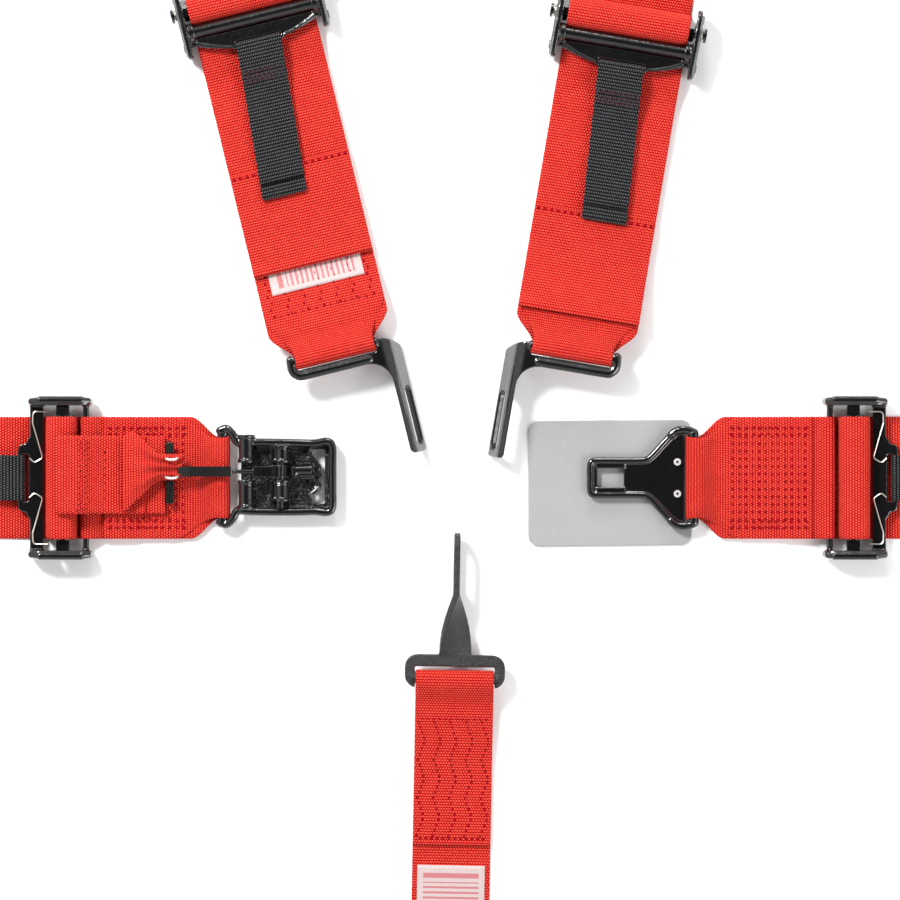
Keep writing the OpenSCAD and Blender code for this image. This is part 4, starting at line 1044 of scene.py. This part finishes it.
def rod(work, a, b, r, r_end=None):
    """A round rod from a to b, in the belt's frame."""
    a, b = Vector(a), Vector(b)
    turn = (b - a).to_track_quat("Z", "Y").to_matrix().to_4x4()
    bmesh.ops.create_cone(work, cap_ends=True, segments=24, radius1=r, radius2=r if r_end is None else r_end,
                          depth=(b - a).length, matrix=Matrix.Translation((a + b) / 2) @ turn)


def bead(work, points, r, sides=14):
    """A round tube that follows points and has round ends, such as a raised rim."""
    path = [Vector(p) for p in points]
    run = [(path[max(k - 1, 0)], p, path[min(k + 1, len(path) - 1)]) for k, p in enumerate(path)]
    across, rings = None, []
    for before, here, after in run:
        ahead = (after - before).normalized()
        across = (across - ahead * across.dot(ahead) if across else ahead.orthogonal()).normalized()
        rings.append((here, ahead, across, 1.0))
    caps = [math.radians(d) for d in (80, 55, 28)]
    first, last = rings[0], rings[-1]
    rings = ([(first[0] - first[1] * r * math.sin(t), first[1], first[2], math.cos(t)) for t in caps] + rings
             + [(last[0] + last[1] * r * math.sin(t), last[1], last[2], math.cos(t)) for t in caps[::-1]])
    loops = []
    for here, ahead, side, size in rings:
        up = ahead.cross(side)
        turns = [math.tau * k / sides for k in range(sides)]
        loops.append([work.verts.new(here + r * size * (side * math.cos(t) + up * math.sin(t)))
                      for t in turns])
    work.faces.new(loops[0][::-1])
    work.faces.new(loops[-1])
    for low, high in zip(loops, loops[1:]):
        for k in range(sides):
            work.faces.new((low[k - 1], low[k], high[k], high[k - 1]))


def softened(name, node, belt, material, detail=None, voxel=0.5, passes=4, copied=True):
    """A rounded skin over a CAD node, in its place, with extra detail cast into it."""
    work = local_shape(node, belt) if copied else bmesh.new()
    if detail:
        detail(work)
    mesh = bpy.data.meshes.new(name)
    work.to_mesh(mesh)
    work.free()
    source = add(name + "_source", mesh)
    remesh = source.modifiers.new("skin", "REMESH")
    remesh.mode = "VOXEL"
    remesh.voxel_size = voxel
    remesh.use_smooth_shade = True
    smooth = source.modifiers.new("soft", "SMOOTH")
    smooth.factor = 0.5
    smooth.iterations = passes
    made = bpy.data.meshes.new_from_object(source.evaluated_get(bpy.context.evaluated_depsgraph_get()))
    bpy.data.objects.remove(source)
    made.transform(belt.matrix @ Matrix.Scale(MM, 4))
    made.materials.clear()
    made.materials.append(material)
    made.shade_smooth()
    piece = add(name, made)
    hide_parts(node)
    return piece


def finish_piece(piece, body):
    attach(piece, body)


def prism(work, points, z0, z1, along="z"):
    """A closed block from an outline of (u, v), or of (u, z) between two v values when along is "v"."""
    def corner(p, h):
        return (p[0], p[1], h) if along == "z" else (p[0], h, p[1])
    low = [work.verts.new(corner(p, z0)) for p in points]
    high = [work.verts.new(corner(p, z1)) for p in points]
    faces = [work.faces.new(low), work.faces.new(high)]
    faces += [work.faces.new((low[k], low[k - 1], high[k - 1], high[k])) for k in range(len(points))]
    bmesh.ops.recalc_face_normals(work, faces=faces)


def both(points, way=1):
    """The points, then their mirror images across the belt's middle, in order round the part."""
    return points + [(p[0], -p[1], *p[2:]) for p in points[::-way]]


def smooth_path(points, n=5):
    """A rounded line through the points (Catmull-Rom)."""
    pts = [Vector(p) for p in points]
    pts = [2 * pts[0] - pts[1]] + pts + [2 * pts[-1] - pts[-2]]
    out = []
    for k in range(1, len(pts) - 2):
        for j in range(n):
            t = j / n
            a, b, c, d = pts[k - 1:k + 3]
            out.append(0.5 * (2 * b + (c - a) * t + (2 * a - 5 * b + 4 * c - d) * t * t
                              + (3 * b - a - 3 * c + d) * t * t * t))
    return out + [pts[-2]]


print("edge rounding ready")


# %% Links
for side_name in ("left", "right"):
    belt = belts["shoulder_" + side_name]

    def link_rod(work, s=-1 if side_name == "left" else 1, z=belt.bar_z):
        line = [(1.5, -28.2, z), (-5, -28.4, z), (-8.6, -25.5, z), (-9.3, -20, z), (-9.3, 20, z)]
        bead(work, smooth_path([(u, s * v, h) for u, v, h in line]), 3.1)

    piece = softened(f"shoulder_link_coated_{side_name}", f"shoulder_link_{side_name}", belt, BLACK_COAT,
                     link_rod, passes=7)
    finish_piece(piece, f"shoulder_link_{side_name}")
piece = softened("crotch_link_coated", "crotch_link", belts["crotch"], SATIN_BLACK, passes=6)
finish_piece(piece, "crotch_link")
print("links:", len(piece.data.polygons), "faces on the crotch link")

# %% [markdown]
# ## The latch
# The latch is a rough casting: a shallow pan with a rolled rim, two pairs of barrels, a scalloped edge
# beside the window that holds the tongues, and rod-like arms that swing out to the bar. It is built
# from rods and slabs, and the remesh melts them together like metal in a mould. The pan's floor is its
# own piece, because the real one is left rough and sparkles, while the rim and barrels are smooth.

# %% Latch casting
LATCH_IN = -9.5
LATCH_END = -72.0
LATCH_HALF = 24.5
WINDOW = (-64.4, -54.9)
LEVER_V = -4.0
LATCH_BAR = release_belt.bar_z


def latch_rods(work):
    rim = smooth_path([
        (-12, -21.6, 9.4), (-22, -22.4, 9.0), (-45, -22.0, 8.8), (-58, -21.8, 8.6), (-66, -22.9, 8.8),
        (-69.2, -19.5, 9.2), (-69.4, -8, 9.4), (-69.4, 8, 9.4), (-69.2, 18.5, 9.2), (-66, 21.6, 8.8),
        (-58, 21.0, 8.6), (-45, 21.4, 8.8), (-22, 21.2, 9.0), (-12, 20.6, 9.4)])
    bead(work, rim, 2.6)
    bead(work, [(u, v, h - 4.6) for u, v, h in rim], 2.4)
    for s, top in ((-1, 31.0), (1, 29.2)):
        hook = [(1.5, s * (top - 1.2), LATCH_BAR + 0.2), (-2.6, s * top, LATCH_BAR + 0.8),
                (-6.6, s * (top - 3.6), 8.4), (-9.2, s * (top - 8.2), 9.0), (-13.5, s * (top - 9.6), 9.2)]
        bead(work, smooth_path(hook), 2.7)
    rod(work, (0, -28.5, LATCH_BAR), (0, 27.5, LATCH_BAR), 3.25)
    for v0, v1 in ((-27.2, -9.4), (1.4, 19.6)):
        rod(work, (-15.2, v0, 9.2), (-15.2, v1, 9.2), 4.8)
        block(work, -20.2, -10.4, v0 + 1.4, v1 - 0.8, 0.8, 9)
        for end in (v0 + 1.1, v1 - 1.1):
            rod(work, (-15.2, end - 1.1, 9.4), (-15.2, end + 1.1, 9.4), 5.6)
    for v0, v1 in ((-20.6, -9.6), (1.4, 14.6)):
        rod(work, (-37.8, v0, 9.6), (-37.8, v1, 9.6), 4.0)
        block(work, -41.6, -34, v0 + 0.8, v1 - 0.8, 1, 9)
        block(work, -33.4, -30.2, v0 + 0.4, v1 - 0.4, 1, 10.2)
        for end in (v0 + 0.8, v1 - 0.8):
            rod(work, (-37.8, end - 0.9, 9.8), (-37.8, end + 0.9, 9.8), 5.0)
    scallops = smooth_path([
        (-57.6, -20.4, 7), (-54.9, -17.5, 6.6), (-55.4, -14.0, 6.4), (-58.2, -10.4, 6.4), (-60.8, -7.2, 6.2),
        (-60.0, -4.4, 6.0), (-61.2, -1.0, 6.0), (-60.2, 2.6, 6.0), (-61.0, 5.4, 6.2), (-58.4, 8.0, 6.4),
        (-55.2, 11.0, 6.4), (-55.0, 15.4, 6.6), (-57.6, 19.4, 7)], 4)
    bead(work, scallops, 1.5)
    block(work, -61, -54.5, -8.4, 6.6, 2.2, 6.2)
    rod(work, (-56.4, LEVER_V - 0.9, 8.6), (-46.5, LEVER_V - 0.9, 9.4), 3.7, 3.0)
    rod(work, (-57.6, LEVER_V + 3.2, 7.6), (-48.5, LEVER_V + 3.4, 7.8), 2.3, 1.8)
    rod(work, (-45.2, LEVER_V - 2.6, 9.6), (-45.2, LEVER_V + 2.8, 9.6), 3.0)
    block(work, -57.5, -44, LEVER_V - 3.8, LEVER_V + 4.4, 1.5, 7.6)


piece = softened("latch_casting", "latch_body", release_belt, BLACK_COAT, latch_rods, 0.5, 4, copied=False)
finish_piece(piece, "latch")


def latch_floor(work):
    block(work, WINDOW[1] - 1.4, LATCH_IN - 2, -LATCH_HALF + 2.4, LATCH_HALF - 3.4, 0.4, 3.4)
    block(work, LATCH_END + 2, WINDOW[0] + 0.2, -LATCH_HALF + 3, LATCH_HALF - 3.4, 0.6, 4)
    for v0, v1 in ((-LATCH_HALF + 2.4, -18), (16.4, LATCH_HALF - 3.4)):
        block(work, LATCH_END + 3, WINDOW[1], v0, v1, 0.6, 4)
    for v, way in ((-19.6, -1), (18.4, 1)):
        prism(work, [(-56, v), (-21, v), (-21, v + way * 3), (-56, v + way * 3)], 3, 6.4)
        rod(work, (-56, v, 3.6), (-21, v, 3.6), 2.2)


floor_piece = softened("latch_pan_floor", "latch_body", release_belt, CAST_BLACK, latch_floor, 0.5, 4,
                       copied=False)
finish_piece(floor_piece, "latch")


def lever_detail(work):
    rod(work, (-36.5, LEVER_V - 4.0, 10.5), (-36.5, LEVER_V + 4.0, 10.5), 4.9)
    block(work, -40.2, -30.4, LEVER_V - 3.8, LEVER_V + 3.8, 12.0, 15.6)
    rod(work, (-37.2, LEVER_V - 4.0, 14.0), (-37.2, LEVER_V + 4.0, 14.0), 2.2)
    rod(work, (-32.4, LEVER_V - 3.8, 14.2), (-32.4, LEVER_V + 3.8, 14.2), 1.7)
    block(work, -31, -19.6, LEVER_V - 3.3, LEVER_V + 3.3, 13.4, 15.8)
    bead(work, [(-20.5, LEVER_V, 14.7), (-14, LEVER_V, 14.7), (-8.4, LEVER_V, 14.4)], 1.4)
    rod(work, (-9.4, LEVER_V - 0.1, 14.3), (-6.4, LEVER_V - 0.1, 14.0), 1.5)


lever = softened("latch_lever_cast", "latch_lever", release_belt, BLACK_COAT, lever_detail, 0.35, 4,
                 copied=False)
finish_piece(lever, "lever")
print("latch:", len(piece.data.polygons), "+", len(floor_piece.data.polygons), "faces")
print("lever:", len(lever.data.polygons), "faces")

# %% [markdown]
# ## The link
# The tongue is a forging with a raised rim that runs all the way round, swells where the plate flares
# out, and becomes the ends of the bar. The face inside the rim is sunk, with a window at the tip.

# %% Link plate
LINK_Z1 = 6.0
LINK_BAR = belts["lap_right"].bar_z


def link_detail(work):
    tongue = 11.4
    block(work, -65.4, -60.2, -tongue, tongue, 1.5, LINK_Z1 - 0.9)
    block(work, -43.8, -24, -tongue, tongue, 1.5, LINK_Z1 - 0.9)
    for v0, v1 in ((-tongue, -6), (6, tongue)):
        block(work, -61, -43, v0, v1, 1.5, LINK_Z1 - 0.9)
    prism(work, both([(-28, 10.6), (-23.5, 13.4), (-11, 28.2), (-5.9, 29.4)]), 1.5, LINK_Z1 - 0.9)
    half = smooth_path([
        (-67 + 2.2, 0, 4.4), (-67 + 2.2, 7, 4.4), (-63.4, 10.4, 4.4), (-57, 10.8, 4.4), (-34, 10.8, 4.4),
        (-27.5, 12.6, 4.5), (-19, 21.6, 4.8), (-12.5, 28.4, 5.2), (-7.5, 30.4, 5.9),
        (-2.5, 29.8, LINK_BAR - 0.4), (0.6, 28.4, LINK_BAR)], 4)
    for way in (-1, 1):
        bead(work, [(u, way * v, z) for u, v, z in half], 2.2)
        bead(work, [(u, way * v, z + 0.3) for u, v, z in half[-14:]], 2.7)
        block(work, -61, -43, min(way * 6, way * 8.8), max(way * 6, way * 8.8), 1.5, LINK_Z1 - 0.2)
    rod(work, (0, -28.6, LINK_BAR), (0, 28.6, LINK_BAR), 3.25)


piece = softened("link_plate_coated", "link_plate", belts["lap_right"], BLACK_COAT, link_detail, 0.5, 4,
                 copied=False)
finish_piece(piece, "link")
print("link plate:", len(piece.data.polygons), "faces")

# %% [markdown]
# ## The pad behind the buckle
# The pad is a thin sheet of grey vinyl. It is modelled as an outline with a soft rolled edge and a slight
# turn, and its finish has faint scuffs from the metal that rests on it.

# %% Buckle pad
PAD_LEN = 103.0
PAD_WIDTH = 79.0
PAD_T = 1.2
PAD_CORNER = 7.0
PAD_MIDDLE = (-52.2, -3.3)


def scuffed(material):
    """Faint lighter rubs and a few specks, mixed into a coated material's colour."""
    tree = material.node_tree
    shader = tree.nodes["Principled BSDF"]
    node = joiner(tree)
    do = maths(tree)
    place = tree.nodes.new("ShaderNodeTexCoord").outputs["Object"]
    squeeze = tree.nodes.new("ShaderNodeMapping")
    squeeze.inputs["Scale"].default_value = (1.0, 0.25, 1.0)
    tree.links.new(place, squeeze.inputs["Vector"])
    rub = node("ShaderNodeTexNoise", squeeze.outputs[0], None, 260.0, 5.0)
    cloud = node("ShaderNodeTexNoise", place, None, 34.0, 4.0)
    speck = node("ShaderNodeTexNoise", place, None, 480.0, 1.0)
    shade = do("ADD", do("MULTIPLY", do("SUBTRACT", cloud, 0.5), 1.1),
               do("MULTIPLY", do("GREATER_THAN", rub, 0.66), 0.35))
    shade = do("SUBTRACT", do("ADD", shade, 0.45), do("MULTIPLY", do("GREATER_THAN", speck, 0.74), 0.5))
    mix = tree.nodes.new("ShaderNodeMix")
    mix.data_type = "RGBA"
    tree.links.new(shade, mix.inputs["Factor"])
    mix.inputs["A"].default_value = (0.295, 0.297, 0.30, 1)
    mix.inputs["B"].default_value = (0.335, 0.337, 0.34, 1)
    tree.links.new(mix.outputs["Result"], shader.inputs["Base Color"])


scuffed(GREY_PAD)
pad_mesh = bmesh.new()
pad_belt = belts["lap_right"]
corners = []
for way_u, way_v, start in ((-1, -1, 180), (1, -1, 270), (1, 1, 0), (-1, 1, 90)):
    centre = (way_u * (PAD_LEN / 2 - PAD_CORNER), way_v * (PAD_WIDTH / 2 - PAD_CORNER))
    corners += [(centre[0] + PAD_CORNER * math.cos(math.radians(start + 11.25 * k)),
                 centre[1] + PAD_CORNER * math.sin(math.radians(start + 11.25 * k))) for k in range(9)]
edge_rings = ((0.45, 0.02), (0.1, 0.2), (0.0, PAD_T / 2), (0.1, PAD_T - 0.2), (0.5, PAD_T),
              (6.0, PAD_T + 0.05), (14.0, PAD_T))
for inset, z in edge_rings:
    ring = []
    for u, v in corners:
        grow = 1 - inset / (PAD_WIDTH / 2)
        spot = pad_belt.place(u * grow + PAD_MIDDLE[0], v * grow + PAD_MIDDLE[1] + 0.010 * u, z)
        ring.append(pad_mesh.verts.new(spot))
    if len(pad_mesh.verts) > len(corners):
        pad_mesh.verts.ensure_lookup_table()
        n = len(corners)
        first = len(pad_mesh.verts) - 2 * n
        for k in range(n):
            k2 = (k + 1) % n
            pad_mesh.faces.new([pad_mesh.verts[first + j] for j in (k, k2, n + k2, n + k)])
    else:
        pad_mesh.faces.new(ring[::-1])
pad_mesh.faces.new(ring)
bmesh.ops.recalc_face_normals(pad_mesh, faces=pad_mesh.faces)
pad_data = bpy.data.meshes.new("buckle_pad_vinyl")
pad_mesh.to_mesh(pad_data)
pad_mesh.free()
pad_data.materials.append(GREY_PAD)
pad = add("buckle_pad_vinyl", pad_data)
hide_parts("buckle_pad")
finish_piece(pad, "link")
print("pad:", len(pad_data.vertices), "points")

# %% [markdown]
# ## Eyelets and the tie under the bow
# Two nickel eyelets pinch the gathered end of the bow, and a flat nylon tie runs across under it. Each
# is a bent tube or a flat block, melted to one skin like the castings.

# %% Eyelets and tie
GATHER_U = 31.5
GATHER_Z = bow_z + 2.6
EYELET_R = 3.9


def eyelets(work):
    for v in (-12.6, -1.0):
        turn = Matrix.Rotation(math.radians(72), 4, "X")
        turns = [math.tau * k / 24 for k in range(25)]
        loop = [turn @ Vector((EYELET_R * math.cos(a), EYELET_R * math.sin(a), 0)) for a in turns]
        bead(work, [(GATHER_U + p.x, v + p.y, GATHER_Z + p.z) for p in loop], 0.85)


piece = softened("release_eyelets", "release_grommets", release_belt, NICKEL, eyelets, 0.3, 3, copied=False)
finish_piece(piece, "release")


def tie_band(work):
    line = [(33, -22.5, bow_z - 0.9), (33, -15, bow_z - 0.7), (33, 4, bow_z - 0.7), (33, 16.5, bow_z - 0.9)]
    bead(work, smooth_path(line), 0.7)
    block(work, 30.4, 35.2, -22, 16, bow_z - 1.5, bow_z - 0.2)


piece = softened("release_tie_band", "release_tie_across", release_belt, TIE_BLACK, tie_band, 0.35, 2,
                 copied=False)
finish_piece(piece, "release")
print("bow held by", piece.name)

# %% [markdown]
# ## Adjusters
# Each adjuster is a folded steel stamping. The CAD part is copied and softened, and what a press rolls
# over is added: thick rims on the lap adjusters' flanges, and a fine lip and collars on the others.

# %% Adjusters
FIXED_Z = TAIL_Z + WEB_T / 2 + 0.5 + 4
LAP_FLANGE = 38.1 + 7.4


def lap_adjuster_detail(work):
    """Thick rolled rims along the outer edges of both flanges."""
    adjust = lap_paths["left"][2]
    for s in (-1, 1):
        top = BAR_R + 2.8 + 6
        rim = [(-18, s * (LAP_FLANGE + 2.6), 5), (-17, s * (LAP_FLANGE + 2.8), top - 3),
               (-13, s * (LAP_FLANGE + 3.2), top - 0.8), (13, s * (LAP_FLANGE + 3.2), top - 0.8),
               (18.5, s * (LAP_FLANGE + 2.6), top - 3.5),
               (19.3, s * (LAP_FLANGE + 1.6), 5)]
        bead(work, [(adjust + u, v, z) for u, v, z in rim], 2.3)


def shoulder_adjuster_detail(work, adjust, crescent):
    """A fine lip along the crescent's curved edge, and round collars where the bars enter the walls."""
    reach, depth = 38.0, 9.5
    radius = (reach * reach + depth * depth) / (2 * depth)
    block(work, crescent + 3.6, crescent + 8, -16, 16, CRESCENT_Z - 1, CRESCENT_Z + 1.4)
    for s in (-1, 1):
        lip = [(crescent - 1.6 + radius - math.sqrt(radius * radius - v * v) + 0.5, s * v, CRESCENT_Z + 1.3)
               for v in [PULL_W / 2 + 3 + k * 2.6 for k in range(9)]]
        bead(work, lip, 0.55)
        fixed = crescent + 11.5 + 4
        rod(work, (fixed, s * 37.6, FIXED_Z), (fixed, s * 43.6, FIXED_Z), 5.8)
        rod(work, (fixed, s * 43.6, FIXED_Z), (fixed, s * 45.2, FIXED_Z), 4.0, 3.2)
        foot = [(crescent + 1.5, s * 44.0, 4), (crescent + 3, s * 44.4, 9), (crescent + 11, s * 44.4, 14),
                (adjust - 4, s * 44.4, 17.5), (adjust + 8, s * 44.2, 17)]
        bead(work, smooth_path(foot), 1.9)


for side_name in ("left", "right"):
    root = "latch_belt" if side_name == "left" else "link_belt"
    piece = softened(f"lap_adjuster_coated_{side_name}", f"lap_adjuster_{side_name}",
                     belts["lap_" + side_name], BLACK_COAT, lap_adjuster_detail, 0.55, 4)
    finish_piece(piece, root)
    lower, upper, adjust, crescent, fold = shoulder_paths[side_name]
    piece = softened(f"shoulder_adjuster_coated_{side_name}", f"shoulder_adjuster_{side_name}",
                     belts["shoulder_" + side_name], BLACK_COAT,
                     lambda work, a=adjust, c=crescent: shoulder_adjuster_detail(work, a, c), 0.5, 4)
    finish_piece(piece, f"shoulder_belt_{side_name}")
print("adjusters:", len(piece.data.polygons), "faces each")

# %% [markdown]
# ## Brackets
# The five bolt brackets and the crotch belt's slide need no extra detail, only soft edges. Each
# bracket's node and its body have the same name.

# %% Anchors and the crotch slide
for belt_name, node in (("lap_left", "lap_anchor_left"), ("lap_right", "lap_anchor_right"),
                        ("shoulder_left", "shoulder_anchor_left"), ("shoulder_right", "shoulder_anchor_right"),
                        ("crotch", "crotch_anchor")):
    piece = softened(node + "_coated", node, belts[belt_name], BLACK_COAT, None, 0.7, 3)
    finish_piece(piece, node)
piece = softened("crotch_slide_coated", "crotch_slide", belts["crotch"], SATIN_BLACK, None, 0.4, 3)
finish_piece(piece, "crotch_belt")
print("brackets done")

# %% [markdown]
# ## Turned and plain parts
# Bars, screws, nuts, pins, wire springs and rivets are already round or plain as the CAD made them, so
# they only get their finish. A CAD node keeps its own mesh, and its material slot is what changes.

# %% Finishes on CAD parts
FINISH = {
    "shoulder_fixed_bar": BLACK_COAT, "shoulder_slide_bar": BLACK_COAT, "shoulder_bar_screws": BLACK_COAT,
    "shoulder_bar_nuts": BLACK_COAT, "shoulder_bar_springs": BRIGHT_WIRE, "lap_slide_bar": BLACK_COAT,
    "lap_wire_spring": BRIGHT_WIRE, "latch_pivot_pin": BLACK_COAT, "latch_spring": BLACK_COAT,
    "release_tie_along": TIE_BLACK, "link_rivets": NICKEL,
}
painted = 0
for node_name, node in frame["nodes"].items():
    for prefix, material in FINISH.items():
        if node_name.startswith(prefix):
            for slot in node.material_slots:
                slot.material = material
            if not node.material_slots:
                node.data.materials.append(material)
            painted += 1
print("finished", painted, "CAD parts")
